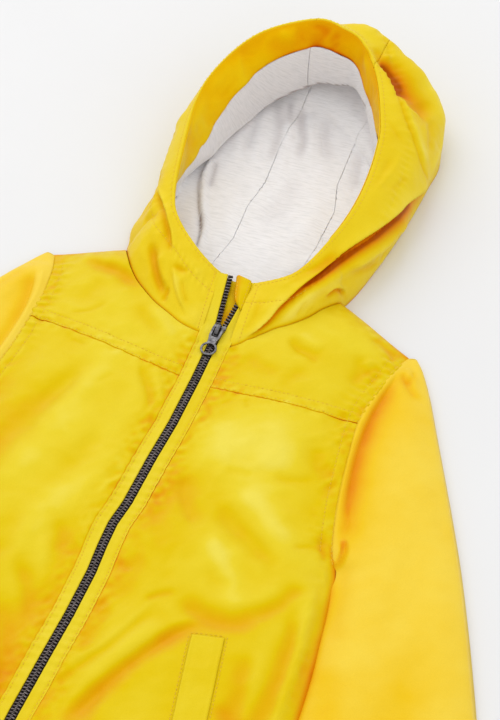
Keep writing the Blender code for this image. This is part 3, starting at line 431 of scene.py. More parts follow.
# Garment-wide folds, on plan: x and y from the zip's top, the viewer's left is negative
BODY_FOLDS = [
    # broad washes of painted shade (warmer) and painted highlight (paler), with no relief
    fold(0, (26, 34), (-120, -50), (-122, -90), (-128, -150), (-138, -220), (-130, -300), painted_shade=0.3),
    fold(0, (30, 26), (34, -58), (56, -84), (74, -112), (92, -140), painted_shade=-0.25),
    fold(0, (16, 22), (10, -120), (24, -150), (40, -176), (54, -196), painted_shade=0.3),
    fold(0, (24, 26), (40, -210), (60, -222), (86, -206), (104, -190), painted_shade=-0.1),
    fold(0, (9, 9), (-20, -46), (-24, -100), (-26, -160), (-24, -240), (-22, -340), painted_shade=0.2),
    # left chest
    fold(-3.0, (7, 17), (-74, -52), (-85, -82), (-93, -106), (-101, -134), (-112, -170),
         (-134, -210), painted_shade=0.2, ends=0.2),
    fold(1.5, (9, 15), (-58, -48), (-70, -74), (-77, -104), (-80, -140), (-92, -184), painted_shade=-0.2,
         ends=0.25),
    fold(-1.7, (3.0, 4.6), (-41, -42), (-36, -52), (-27, -64), (-16, -80), painted_shade=0.22, lean=0.3),
    fold(0.8, (3, 4), (-31, -42), (-22, -58), (-12, -74), painted_shade=-0.1),
    fold(-1.0, (3, 3), (-18, -88), (-9, -86), painted_shade=0.3, ends=0.4),
    fold(-0.6, (1.5, 2), (-97, -38), (-84, -40), painted_shade=0.12, sharp=1.4),
    fold(-0.7, (1.6, 2), (-62, -70), (-55, -58), painted_shade=0.09, sharp=1.4),
    fold(-1.0, (9, 12), (-118, -40), (-122, -78), (-130, -118), painted_shade=0.06),
    fold(-1.4, (6, 11), (-40, -104), (-48, -140), (-62, -176), painted_shade=0.07),
    fold(1.0, (8, 12), (-22, -112), (-30, -150), (-44, -190), painted_shade=-0.12),
    # left yoke and shoulder
    fold(-2.2, (5, 6), (-122, 44), (-112, 39), (-98, 37), (-84, 34), (-68, 24), painted_shade=0.36,
         lean=-0.2, ends=0.35),
    fold(1.2, (6, 7), (-106, 48), (-94, 47), (-84, 45), painted_shade=0.06),
    fold(-0.8, (1.5, 2.2), (-108, -14), (-95, -7), (-86, 4), painted_shade=0.18, sharp=1.4),
    fold(-1.3, (6, 5), (-66, 12), (-52, -1), (-36, -13), painted_shade=0.25, ends=0.4),
    fold(0.9, (5, 6), (-56, 14), (-42, 0), (-28, -12), painted_shade=-0.1),
    fold(-1.2, (7, 8), (-97, 27), (-101, 12), (-106, -6), painted_shade=0.07),
    fold(-1.0, (3, 4), (-147, 28), (-138, 20), (-132, 8), painted_shade=0.24),
    fold(-0.8, (2, 3), (-142, 8), (-136, -2), (-129, -8), painted_shade=0.18, sharp=1.5),
    fold(0.7, (2, 2.5), (-138, 34), (-130, 26), (-124, 16)),
    # left, beside the zip and down to the pocket
    fold(-1.4, (4, 5), (-38, -192), (-29, -204), (-24, -220), painted_shade=0.3, ends=0.4),
    fold(0.9, (4, 5), (-42, -208), (-32, -230), (-26, -250), painted_shade=-0.05),
    fold(-1.5, (4.5, 5), (-52, -228), (-39, -246), (-29, -262), (-23, -282), painted_shade=0.3, ends=0.3),
    fold(-1.4, (6, 6), (-46, -268), (-32, -287), (-23, -312), (-18, -336), painted_shade=0.36),
    fold(-1.8, (10, 14), (-58, -186), (-68, -236), (-74, -300), (-70, -356), painted_shade=0.24),
    fold(1.1, (8, 10), (-46, -160), (-54, -212), (-58, -280), (-50, -340)),
    fold(-1.7, (10, 8), (-112, -206), (-98, -246), (-90, -290), painted_shade=0.18),
    fold(-3.4, (5, 7), (-30, -366), (-38, -338), (-50, -302), (-66, -268), (-94, -246),
         painted_shade=0.8, lean=-0.35),
    fold(-1.8, (8, 7), (-98, -222), (-120, -214), (-144, -188), painted_shade=0.24),
    fold(-1.8, (6, 7), (-146, -226), (-158, -262), (-162, -316), painted_shade=0.27),
    fold(-1.4, (7, 8), (-124, -250), (-136, -290), (-140, -350), painted_shade=0.24),
    fold(1.2, (7, 8), (-112, -262), (-122, -300), (-126, -350)),
    # right yoke
    fold(-2.0, (3.5, 6), (50, 20), (58, 12), (67, 9), (80, 4), painted_shade=0.27, lean=0.3),
    fold(1.0, (4, 6), (56, 26), (66, 20), (78, 16), painted_shade=-0.1),
    fold(-1.0, (5, 6), (72, -4), (66, -18), (62, -32), painted_shade=0.06),
    fold(-1.2, (4, 5), (102, 24), (108, 10), (106, -8), painted_shade=0.18),
    fold(-0.9, (2.2, 3), (110, 7), (118, 15), (127, 18), painted_shade=0.21, sharp=1.5),
    fold(0.8, (2, 3), (106, 14), (116, 22), (126, 25)),
    fold(-1.1, (3, 4), (104, 42), (116, 40), (130, 33), painted_shade=0.21),
    fold(-0.8, (5, 6), (26, -6), (40, -12), (56, -16), painted_shade=0.15),
    fold(0.7, (5, 7), (22, -24), (50, -26), (88, -20)),
    # right chest
    fold(-1.3, (6, 8), (104, -68), (109, -82), (118, -88), painted_shade=0.15),
    fold(-1.2, (4, 3.5), (84, -106), (97, -104), (112, -96), painted_shade=0.13, sharp=1.6),
    fold(-0.9, (4, 3), (50, -114), (62, -111), (72, -110), painted_shade=0.11),
    fold(-0.6, (1.6, 2), (25, -57), (33, -50), painted_shade=0.09, sharp=1.4),
    fold(-0.7, (2, 2), (41, -47), (46, -56), painted_shade=0.12),
    fold(0.9, (9, 9), (66, -60), (80, -84), (82, -104), painted_shade=-0.14),
    fold(0.9, (10, 12), (30, -70), (38, -96), (34, -120), painted_shade=-0.1),
    fold(-2.4, (5, 7), (28, -122), (30, -136), (40, -152), (54, -166), painted_shade=0.22, lean=0.25),
    fold(-2.8, (8, 6), (56, -140), (76, -156), (94, -166), (116, -179), painted_shade=0.23, ends=0.35),
    fold(1.6, (8, 8), (66, -124), (92, -140), (120, -158), painted_shade=-0.2),
    fold(1.6, (6, 7), (60, -168), (76, -184), (88, -197), (99, -212), painted_shade=-0.22),
    fold(-0.8, (4, 4), (72, -196), (82, -202), (94, -202), painted_shade=0.09),
    fold(-1.1, (1.8, 2.2), (118, -158), (128, -151), (135, -146), painted_shade=0.24, sharp=1.5),
    fold(-1.6, (3, 4), (132, -138), (138, -148), (141, -158), painted_shade=0.3),
    fold(-0.9, (3, 3), (11, -206), (18, -212), (26, -212), painted_shade=0.27, ends=0.4),
    fold(-0.9, (4, 5), (22, -126), (26, -150), (22, -176), painted_shade=0.15),
    # the deep curved fold above the right pocket, and what runs beside it
    fold(-3.6, (5.0, 9.0), (88, -240), (78, -244), (70, -252), (61, -268), (53, -284), (46, -300),
         (39, -320), (34, -344), painted_shade=0.62, lean=0.4, ends=0.25),
    fold(1.7, (6, 8), (74, -262), (63, -280), (55, -300), (50, -324), (46, -352), painted_shade=-0.1,
         ends=0.4),
    fold(1.0, (6, 7), (64, -244), (52, -262), (44, -282), (36, -304), (28, -330), painted_shade=-0.1,
         ends=0.3),
    fold(0.7, (1.7, 1.3), (13, -302), (22, -289), (31, -276), (38, -260), (45, -240), (52, -226),
         sharp=1.3, painted_shade=-0.1),
    fold(-1.2, (3.0, 4.0), (17, -310), (26, -294), (36, -276), (44, -256), (52, -238), painted_shade=0.18),
    fold(-1.1, (2.5, 3), (42, -234), (50, -226), (60, -220), painted_shade=0.27),
    fold(-2.8, (6, 9), (63, -224), (78, -230), (94, -234), (108, -231), (119, -222), painted_shade=0.42,
         lean=0.2, ends=0.25),
    fold(-2.2, (8, 5), (108, -226), (122, -214), (131, -198), (138, -184), painted_shade=0.3, lean=0.2),
    fold(1.3, (7, 7), (86, -216), (104, -213), (118, -203), (128, -190), painted_shade=-0.12),
    fold(-2.2, (5, 9), (135, -198), (143, -226), (147, -256), (148, -296), (146, -344),
         painted_shade=0.3),
    fold(1.7, (4, 5), (143, -186), (149, -210), (152, -240), (156, -290), (160, -340), painted_shade=-0.15),
    fold(-1.4, (3, 3.5), (148, -182), (155, -208), (160, -240), (162, -276), painted_shade=0.3),
    fold(-1.4, (7, 8), (118, -246), (127, -278), (132, -330), painted_shade=0.18),
    fold(1.0, (4, 5), (128, -244), (135, -272), (138, -306), painted_shade=-0.1),
    fold(-1.5, (5, 6), (118, -292), (130, -303), (146, -312), painted_shade=0.3),
    fold(-1.4, (6, 8), (60, -330), (66, -352), (80, -380), painted_shade=0.24),
    fold(-1.2, (5, 6), (28, -372), (44, -352), (52, -330), painted_shade=0.18),
    fold(-0.9, (6, 8), (14, -236), (20, -262), (16, -290), painted_shade=0.24),
    fold(-1.0, (7, 9), (30, -196), (26, -222), (28, -246), painted_shade=0.12),
]

PAINTED_SHADE_KNEE = 0.22            # beyond this, the painted shade of folds turns orange more slowly
PAINTED_SHADE_MOST = 0.85

side_table = {side: table(spline(rows, 8)) for side, rows in SIDE_EDGE.items()}
side_reach = table(SIDE_REACH)
wander = table(ZIP_WANDER)


def row_beside(line, distance):
    """A line at a distance to the left of another, looking along it."""
    line = np.array(line, float)
    step = np.gradient(line, axis=0)
    step /= np.linalg.norm(step, axis=1)[:, None]
    return line + distance * np.stack([-step[:, 1], step[:, 0]], 1)


def side_line(side, low, high):
    """The side edge on plan between two heights, from the hem end upwards."""
    y = np.linspace(low, high, 90)
    return np.stack([side_table[side](y)[0], y], 1)


def tip_y(side):
    return SIDE_EDGE[side][0][0]


def yoke_line(side):
    """The yoke seam, from the band to the armhole."""
    line = even(spline(YOKE_SEAM[side], 8), 60)
    end = np.array([side_table[side](line[-1][1])[0], line[-1][1]])
    return np.concatenate([line[:-1], [end]])


def signed(side, line):
    return np.array(line) * (SIGN[side], 1)


# Each row of topstitching on a half of the body: how deep and how wide its gathers are, and
# how far the stitches lie above the front
ROWS = {
    "yoke_edge": (0.4, 4.0, 0.15),
    "yoke_twin": (0.3, 4.0, 0.15),
    "armhole_edge": (0.4, 4.0, 0.05),
    "armhole_twin": (0.5, 6.5, 0.05),
    "band": (0.5, 6.5, OVER_FRONT),
    "hem": (0.3, 4.0, 0.05),
}


def body_rows(side):
    """The rows of topstitching on one half of the body, on plan."""
    yoke = yoke_line(side)
    armhole = side_line(side, PIT_Y + 6, tip_y(side) - 2)
    rows = {"yoke_edge": yoke + (0, EDGE_ROW), "yoke_twin": (yoke + (0, TWIN_ROW))[:-3],
            "armhole_edge": row_beside(armhole, EDGE_ROW),
            "armhole_twin": row_beside(armhole, TWIN_ROW)[4:-3],
            "band": np.array([(BAND_WIDTH - EDGE_ROW, y) for y in (HEM_Y, -200, -4)], float),
            "hem": np.array([(BAND_WIDTH + 1, HEM_Y + HEM_ROW),
                             (side_table[side](HEM_Y)[0] - 3, HEM_Y + HEM_ROW)], float)}
    return {name: signed(side, line) for name, line in rows.items()}


def shoulder_drop(side, x, y):
    neck = NECK_SEAM[side][-1]
    tip = (SIDE_EDGE[side][0][1], SIDE_EDGE[side][0][0])
    run, fall = tip[0] - neck[0], tip[1] - neck[1]
    return (fall * (x - neck[0]) - run * (y - neck[1])) / math.hypot(run, fall)


def body_form(side, x, y):
    """Height of a front without its folds, x counted outwards from the zip line."""
    reach, seam_z = side_table[side](y)
    x = np.maximum(x, BAND_WIDTH)
    out = np.clip((x - BAND_WIDTH) / (reach - BAND_WIDTH), 0, 1)
    z = FRONT_Z + FRONT_SWELL * np.sin(math.pi * out)
    t = np.clip((reach - x) / side_reach(y), 0, 1)
    below_pit = smooth((PIT_Y - 4 - y) / 30)
    quarter = np.sqrt(1 - (1 - t) ** 2)
    rise = ease_out(t) + (quarter - ease_out(t)) * below_pit
    z = seam_z + (z - seam_z) * rise
    shoulder = np.clip(shoulder_drop(side, x, y) / SHOULDER_REACH, 0, 1)
    z = SEAM_Z + (z - SEAM_Z) * np.sqrt(1 - (1 - shoulder) ** 2.2)
    return z - HEM_DROP * (1 - ease_out((y - HEM_Y) / HEM_REACH))


def painted_edge_shade(side, out, y):
    """Painted shade: the cloth is painted a warmer yellow towards the side edges, the zip, the
    shoulder and its seam, with a painted shadow where the side edge lies over the sleeve below the
    armpit; it also grows warmer towards the hem.
    """
    beside_zip = bell(out - BAND_WIDTH, 11)
    edge = bell(side_table[side](y)[0] - out, 16)
    shoulder = bell(shoulder_drop(side, out, y), 18)
    low = smooth((-170 - y) / 110)
    contact = bell(side_table[side](y)[0] - out - 1.2, 2.6)
    contact *= smooth((PIT_Y + 26 - y) / 14)
    seam = bell(shoulder_drop(side, out, y), 2.2)
    return (0.12 + 0.16 * beside_zip + 0.14 * edge + 0.22 * shoulder + 0.4 * seam + 0.1 * low
            + 0.55 * contact)


def beside_seams(side, out, y):
    """1 beside the armhole, the yoke, the zip and the neck, and 0 on the open cloth."""
    armhole = bell(side_table[side](y)[0] - out - 6, 9)
    band = bell(out - BAND_WIDTH - 3, 9)
    yoke = bell(y - np.interp(out, *np.array(YOKE_SEAM[side], float).T) - 2, 7)
    neck = bell(shoulder_drop(side, out, y), 14)
    return np.clip(armhole + 0.8 * band + 0.7 * yoke + 0.6 * neck, 0, 1)


def body_surface(side, x, y):
    """Height and painted shade of one half of the body at signed plan points (1-D arrays)."""
    points = np.stack([x, y], 1)
    out = np.abs(x)
    from_side = side_table[side](y)[0] - out
    from_shoulder = shoulder_drop(side, out, y)
    seams = beside_seams(side, out, y)
    height, painted_shade = relief(points, BODY_FOLDS)
    height += humps(points, (0.8, 62, 3), (0.42, 25, 5), (0.12, 9, 8))
    height += 0.20 * (1 - 2 * np.abs(waves(points, 17, 11)))
    height += crumples(points, 11) * (0.25 + 1.1 * seams)
    free = smooth((from_side + 1) / 12) * smooth((from_shoulder + 2) / 12)
    free *= smooth((out - 2) / 14) * (0.35 + 0.65 * smooth((y - HEM_Y) / 25))
    # painted shade in the hollows of the relief, and painted highlight on its rises
    painted_shade = painted_shade + 0.24 * np.clip(-height / 2.4, -0.6, 1)
    painted_shade = np.minimum(painted_shade, PAINTED_SHADE_KNEE + 0.55 * np.maximum(painted_shade - PAINTED_SHADE_KNEE, 0))
    z = body_form(side, out, y) + height * free
    for number, (name, line) in enumerate(body_rows(side).items()):
        gather, spread, _ = ROWS[name]
        z = z + sewn(points, line, gather, GATHER_PITCH + 0.5 * number, spread, number)
    # painted shade and painted highlight of the small puckers beside the seams
    flecks_and_pucker_shade = seams * (0.04 + humps(points, (0.12, 5, 16), (0.06, 11, 17)))
    flecks_and_pucker_shade *= smooth((y - PIT_Y + 10) / 20) + smooth((from_side - 14) / 10)
    painted_shade = painted_shade * free + painted_edge_shade(side, out, y) + np.clip(flecks_and_pucker_shade, -0.3, 0.3)
    return np.maximum(z, CLOTH + 1.0), np.minimum(painted_shade, PAINTED_SHADE_MOST)


def zip_lift(y):
    return ZIP_RISE * np.maximum(y - SLIDER_Y[1], 0)


def zip_place(x, y):
    """Plan points near the zip, moved with its wander."""
    return x + wander(y) * (1 - smooth((np.abs(x) - 15) / 60))


def patch(bottom, right, top, left):
    """Plan points that fill four edges, each a line of points."""
    u = (lengths(bottom) / lengths(bottom)[-1])[None, :, None]
    v = (lengths(left) / lengths(left)[-1])[:, None, None]
    return ((1 - v) * bottom[None] + v * top[None] + (1 - u) * left[:, None] + u * right[:, None]
            - (1 - u) * (1 - v) * bottom[0] - u * (1 - v) * bottom[-1]
            - (1 - u) * v * top[0] - u * v * top[-1])


# ---------------------------------------------------------------- meshes

def mesh_from(name, verts, faces, smooth_shading=True):
    mesh = bpy.data.meshes.new(name)
    mesh.from_pydata((np.array(verts) * MM).tolist(), [], faces)
    if smooth_shading:
        mesh.shade_smooth()
    mesh.update()
    return mesh


def grid_faces(rows, columns, ring=False):
    index = np.arange(rows * columns).reshape(rows, columns)
    right = np.roll(index, -1, 1)
    if not ring:
        index, right = index[:, :-1], right[:, :-1]
    faces = np.stack([index[:-1], right[:-1], right[1:], index[1:]], -1)
    return faces.reshape(-1, 4).tolist()


def float_layer(mesh, name, values):
    layer = mesh.attributes.new(name, "FLOAT", "POINT")
    layer.data.foreach_set("value", np.asarray(values, np.float32).ravel())


def piece(name, mesh, mat, nodes=(), body="jacket", wall=0.0, offset=-1):
    """An object that rides on a body and stands for CAD nodes."""
    item = bpy.data.objects.new(name, mesh)
    bpy.context.scene.collection.objects.link(item)
    mesh.materials.clear()
    mesh.materials.append(mat)
    if wall:
        solid = item.modifiers.new("wall", "SOLIDIFY")
        solid.thickness = wall * MM
        solid.offset = offset
        solid.use_even_offset = False
    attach(item, body)
    if nodes:
        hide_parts(*nodes)
    return item


def cloth(name, grid, mat, nodes=(), painted_shade=None, ring=False, wall=CLOTH, slot="yellow_nylon"):
    mesh = mesh_from(name, grid.reshape(-1, 3), grid_faces(*grid.shape[:2], ring))
    if painted_shade is not None:
        float_layer(mesh, "painted_shade", painted_shade)
    return piece(name, mesh, mat, nodes, wall=wall)


def half(side, name, node, grid, mat, painted_shade=None, **values):
    """Cloth of one half of the garment, from a grid whose columns run outwards."""
    if SIGN[side] < 0:
        grid = grid[:, ::-1]
        painted_shade = None if painted_shade is None else painted_shade[:, ::-1]
    cloth(name, grid, mat, [node + "_" + side], painted_shade=painted_shade, **values)


def grid_normals(grid):
    return unit(np.cross(np.gradient(grid, axis=1), np.gradient(grid, axis=0)))


# ---------------------------------------------------------------- stitches

def thread_shape():
    """A short thick thread that dips at both ends: corners and faces of one stitch."""
    angles = np.radians(np.arange(0, 360, 60))
    stations = [(-1.0, 0.05, -0.22), (-0.7, 0.24, 0.0), (0.0, 0.3, 0.1), (0.7, 0.24, 0.0),
                (1.0, 0.05, -0.22)]
    verts = [(place * STITCH / 2, radius * math.cos(a), lift + 0.8 * radius * math.sin(a))
             for place, radius, lift in stations for a in angles]
    faces = grid_faces(len(stations), len(angles), ring=True)
    return np.array(verts), np.array(faces)[:, ::-1]


def stitch_rows(name, rows, mat):
    """Rows of stitches, each row a line of points with the cloth's normals there."""
    shape, shape_faces = thread_shape()
    verts, faces = [], []
    for line, normals in rows:
        places = (np.arange(int(lengths(line)[-1] / STITCH_PITCH)) + 0.5) * STITCH_PITCH
        tangents = unit(at(line, places + STITCH / 3) - at(line, places - STITCH / 3))
        sides = unit(np.cross(at(line, places, normals), tangents))
        axes = np.stack([tangents, sides, np.cross(tangents, sides)], 1)
        for middle, turn in zip(at(line, places), axes):
            faces.append(shape_faces + len(verts) * len(shape))
            verts.append(middle + shape @ turn)
    mesh = mesh_from(name, np.concatenate(verts), np.concatenate(faces).tolist())
    piece(name, mesh, mat)


def body_row(side, line, lift):
    """Points and normals of a plan line laid on the body."""
    line = np.array(line, float)
    x, y = even(line, max(4, int(lengths(line)[-1] / ROW_STEP))).T
    z = body_surface(side, x, y)[0]
    dx = body_surface(side, x + 1, y)[0] - z
    dy = body_surface(side, x, y + 1)[0] - z
    return (np.stack([zip_place(x, y), y, z + lift], 1),
            unit(np.stack([-dx, -dy, np.ones_like(z)], 1)))


# ---------------------------------------------------------------- the body

UNDERLAP = 2.0              # how far a front runs on under the band and the yoke
YOKE_UNDERLAP = 1.6


def rolled(distance, radius):
    """How far an edge turns down at a distance from it."""
    t = np.clip(1 - distance / radius, 0, 1)
    return radius * 0.7 * (1 - np.sqrt(1 - t * t * 0.98))


def lay_body(side, plan, lift):
    """A grid of plan points, x outwards, laid on the body: points and painted shade."""
    x = plan[..., 0].ravel() * SIGN[side]
    y = plan[..., 1].ravel()
    z, painted_shade = body_surface(side, x, y)
    grid = np.stack([zip_place(x, y), y, z], 1).reshape(plan.shape[:2] + (3,))
    grid[..., 2] += lift
    return grid, painted_shade.reshape(plan.shape[:2])


def seam_gap(side, plan):
    """How far plan points lie above the yoke seam."""
    return plan[..., 1] - np.interp(plan[..., 0], *yoke_line(side).T)


def under_band(plan):
    """1 where cloth runs under the band beside the zip."""
    return 1 - smooth((plan[..., 0] - BAND_WIDTH + 0.3) / 0.9)


def build_front(side, mat):
    """From under the band to the side seam, and from the hem to under the yoke."""
    start = BAND_WIDTH - UNDERLAP
    right = side_line(side, HEM_Y, yoke_line(side)[-1][1])
    top = yoke_line(side) + (0, UNDERLAP)
    top[0, 0] = start
    hem = np.array([(start, HEM_Y), (side_table[side](HEM_Y)[0], HEM_Y)])
    left = np.array([(start, HEM_Y), (start, top[0][1])])
    u, v = spaced(150, 14, 12), spaced(350, 24, 14)
    plan = patch(shared(hem, u), shared(right, v), shared(top, u), shared(left, v))
    tuck = 0.6 * under_band(plan) + 0.5 * (1 - smooth((0.2 - seam_gap(side, plan)) / 1.2))
    tuck += 0.35 * (1 - smooth((side_table[side](plan[..., 1])[0] - plan[..., 0]) / 1.4))
    grid, painted_shade = lay_body(side, plan, -tuck)
    # painted shade where the front tucks under the band, the yoke and down at its side edge
    half(side, "front_" + side + "_cloth", "front", grid, mat, painted_shade + 1.6 * tuck)


def build_yoke(side, mat):
    start = BAND_WIDTH - YOKE_UNDERLAP
    bottom = yoke_line(side)
    right = side_line(side, bottom[-1][1], tip_y(side))
    neck = spline(NECK_SEAM[side], 8)
    straight = np.array([(start, bottom[0][1]), (start, neck[0][1] - 1), tuple(neck[0])])
    low = even(straight, int(lengths(straight)[-1] / FINE))
    left = np.concatenate([low[:-1], even(neck, int(lengths(neck)[-1] / ROW_STEP))])
    top = np.array([neck[-1], right[-1]])
    bottom[0, 0] = start
    u, v = spaced(115, 12, 12), lengths(left) / lengths(left)[-1]
    plan = patch(shared(bottom, u), shared(right, v), shared(top, u), left)
    turn = rolled(seam_gap(side, plan), 0.6) + 0.6 * under_band(plan)
    grid, painted_shade = lay_body(side, plan, OVER_FRONT - turn)
    # painted shade along the rolled edge at the yoke seam and where the yoke runs under the band
    half(side, "yoke_" + side + "_cloth", "front_yoke", grid, mat, painted_shade + 2 * turn)


def chain_offset(side, y):
    return table([(HEM_Y, 0.0), (PART_Y, 0.0)] + CHAIN_SPREAD[side])(y)


def band_outer(side, y):
    return table([(HEM_Y, BAND_WIDTH), (-8, BAND_WIDTH)] + BAND_TOP_OUTER[side])(y)


def band_height(side, x, y):
    """Height along the zip at signed plan points; above the neck it follows the stand."""
    base = body_surface(side, np.sign(x) * np.minimum(np.abs(x), BAND_WIDTH), np.minimum(y, 0))[0]
    return base + zip_lift(y)


def along_zip(side, ys, inner, outer, shares):
    """A strip beside the zip: how far out its points are, and their x, y and height."""
    out = inner[:, None] + (outer - inner)[:, None] * shares
    y = np.repeat(ys[:, None], len(shares), 1)
    x = out * SIGN[side]
    return out, x, y, band_height(side, x.ravel(), y.ravel()).reshape(x.shape)


def build_band(side, mat):
    """The strip beside the zip, with a rolled edge along the teeth."""
    ys = np.arange(HEM_Y, BAND_TOP_Y[side] + 0.1, 1.25)
    opening = smooth((ys - PART_Y) / 6)
    inner = chain_offset(side, ys) + TOOTH_HALF + BAND_GAP - opening * CHAIN_HALF * 0.4
    outer = band_outer(side, ys)
    shares = np.array([0, 0.03, 0.08, 0.16, 0.3, 0.45, 0.6, 0.72, 0.8, 0.86, 0.91, 0.95, 0.98, 1])
    out, x, y, z = along_zip(side, ys, inner, outer, shares)
    from_teeth = out - inner[:, None]
    z += OVER_FRONT + 0.5 * bell(from_teeth - 0.9, 0.9) - rolled(from_teeth, 0.8)
    # painted shade along the line of the band's topstitching
    painted_shade = 0.12 * bell(outer[:, None] - out - EDGE_ROW, 1.2)
    grid = np.stack([zip_place(x, y), y, z], -1)
    half(side, "band_" + side + "_cloth", "zip_band", grid, mat, painted_shade)


def build_back(mat):
    """The back panel under the whole body, with a slight wave in it."""
    left, right = [even(signed(side, side_line(side, HEM_Y, tip_y(side))), 90)
                   for side in ("left", "right")]
    hem = even(np.array([left[0], right[0]]), 80)
    neck_left, neck_right = signed("left", NECK_SEAM["left"][-1]), NECK_SEAM["right"][-1]
    neck = spline([neck_left, (0, BACK_NECK_Y), neck_right], 10)
    top = even(np.concatenate([left[-1:], neck, right[-1:]]), 80)
    plan = patch(hem, right, top, left)
    z = BACK_Z + 0.25 * waves(plan, 55, 21)
    cloth("back_cloth", np.concatenate([plan, z[..., None]], -1), mat, ["back"],
          wall=BACK_WALL)


def sleeve_top(out, width, inner_z):
    from_outer = (SLEEVE_Z - SLEEVE_OUTER_Z) * (1 - ease_out(out / SLEEVE_OUTER_REACH))
    from_inner = (SLEEVE_Z - inner_z) * (1 - ease_out((width - out) / SLEEVE_INNER_REACH))
    at_least = SLEEVE_OUTER_Z + (inner_z - SLEEVE_OUTER_Z) * out / width
    return np.maximum(SLEEVE_Z - from_outer - from_inner, at_least)


# On the sleeves: the ridge and the crease beside the armhole, and softer folds
SLEEVE_FOLDS = {
    "right": [
        fold(0.9, (1.6, 1.8), (131.5, 20), (128, -4), (126.4, -24), (126.5, -46), (129, -70),
             (133, -92), (136.5, -108), (142, -126), ends=0.06, painted_shade=-0.1),
        fold(-3.6, (4.2, 5.6), (134, 24), (132, 8), (129.6, -10), (128.8, -28), (129.6, -48),
             (132, -70), (135.6, -92), (141, -116), (147, -138), painted_shade=0.72, lean=0.4, ends=0.24),
        fold(-1.6, (9, 12), (140, 8), (137, -28), (138, -56), (143, -86), (151, -116),
             (158, -150), painted_shade=0.22, ends=0.12),
        fold(-1.8, (2.4, 4.0), (136, 24), (141, 14), (148, 6), (156, 0), painted_shade=0.4),
        fold(-1.4, (2.0, 3.0), (143, 28), (145, 19), (142, 11), painted_shade=0.3),
        fold(0.9, (1.3, 1.3), (137, -98), (138.5, -108), (142, -120), (143.5, -131), sharp=1.6),
        fold(0.8, (1.2, 1.2), (140.5, -101), (141.5, -112), (145.5, -122), (146, -134), sharp=1.6,
             painted_shade=0.1),
        fold(1.9, (2.0, 2.2), (147, -136), (150.5, -144), (151, -152), (147, -158), painted_shade=0.55,
             sharp=2.6, ends=0.15),
        fold(-1.2, (0.9, 0.9), (147.5, -139), (149, -147), (148, -154), painted_shade=0.3),
        fold(-1.6, (5, 9), (152, -150), (157, -168), (161, -190), (166, -220), painted_shade=0.2, ends=0.2),
        fold(1.2, (3, 4), (143, 24), (149, 12), (156, 2)),
        fold(-1.0, (10, 16), (230, -190), (226, -240), (234, -300), painted_shade=0.2),
        fold(-0.9, (14, 16), (186, -110), (196, -160), (206, -220), painted_shade=0.05),
        fold(0.8, (10, 14), (170, -60), (184, -120), (196, -190)),
        fold(-1.4, (9, 10), (176, -236), (182, -262), (190, -290), painted_shade=0.2),
        fold(-1.4, (5, 6), (214, -306), (226, -290), (244, -282), painted_shade=0.4),
    ],
    "left": [
        fold(0.9, (1.8, 2.0), (-146, 22), (-141.5, 4), (-140, -14), (-140, -40), (-143, -80),
             (-150, -112), ends=0.08),
        fold(-3.2, (4.2, 5.5), (-152, 20), (-147, 0), (-144.5, -18), (-144.5, -44), (-147.5, -84),
             (-156, -118), (-163, -142), painted_shade=0.45, lean=-0.5, ends=0.1),
        fold(-1.6, (7, 10), (-152, 14), (-156, -4), (-158, -28), (-160, -60), painted_shade=0.2),
        fold(-1.2, (5, 7), (-160, 22), (-170, 0), (-178, -20), painted_shade=0.3),
        fold(-1.5, (9, 12), (-196, -120), (-206, -170), (-222, -220), painted_shade=0.25),
        fold(0.9, (10, 12), (-184, -60), (-200, -120), (-214, -190)),
        fold(-1.4, (8, 9), (-178, -196), (-188, -232), (-200, -270), painted_shade=0.4),
        fold(-1.3, (5, 6), (-226, -306), (-240, -290), (-258, -282), painted_shade=0.4),
    ],
}


def sleeve_edges(side):
    """The overarm edge and the underarm edge of a sleeve on plan, row by row."""
    armhole = side_line(side, PIT_Y, tip_y(side))[::-1]
    beside = side_line(side, SLEEVE_LEAVES_Y, PIT_Y)[::-1]
    beside[:, 0] -= SLEEVE_TUCK * smooth((PIT_Y - beside[:, 1]) / 14)
    cuff = np.array([beside[-1], SLEEVE_CUFF_INNER[side]], float)
    inner = np.concatenate([even(armhole, ARMHOLE_ROWS)[:-1], even(beside, 40)[:-1],
                            even(cuff, 34)])
    tip = (inner[0][0] + TIP_WIDTH, inner[0][1])
    return even(spline([tip] + SLEEVE_OUTER[side], 8), len(inner) - 1), inner


def rounded(z, distance, low):
    """Heights that come down to a low one in a quarter round at an edge."""
    share = np.clip(distance / SLEEVE_ROUND, 0, 1)
    return low + (z - low) * np.sqrt(1 - (1 - share) ** 2)


def sleeve_form(side, across, outer, inner):
    """The upper layer without its folds, a row for each place along the sleeve."""
    width = np.linalg.norm(outer - inner, axis=1)[:, None]
    number = np.arange(len(inner))[:, None]
    at_armhole = 1 - smooth((number - ARMHOLE_ROWS + 8) / 14)
    edge_z = side_table[side](inner[:, 1])[1][:, None]
    inner_z = edge_z * at_armhole + SLEEVE_INNER_Z * (1 - at_armhole)
    out = across * width
    inside = width - out
    z = sleeve_top(out, width, inner_z) - 0.5 * bell(inside, 1.2) * at_armhole
    z = rounded(z, out, 1.6)
    z = z * at_armhole + rounded(z, inside, 1.4) * (1 - at_armhole)
    plan = outer[:, None] + (inner - outer)[:, None] * across[:, None]
    plan[..., 0] -= 1.2 * bell(inside, 1.5) * at_armhole
    return np.concatenate([plan * (SIGN[side], 1), z[..., None]], -1)


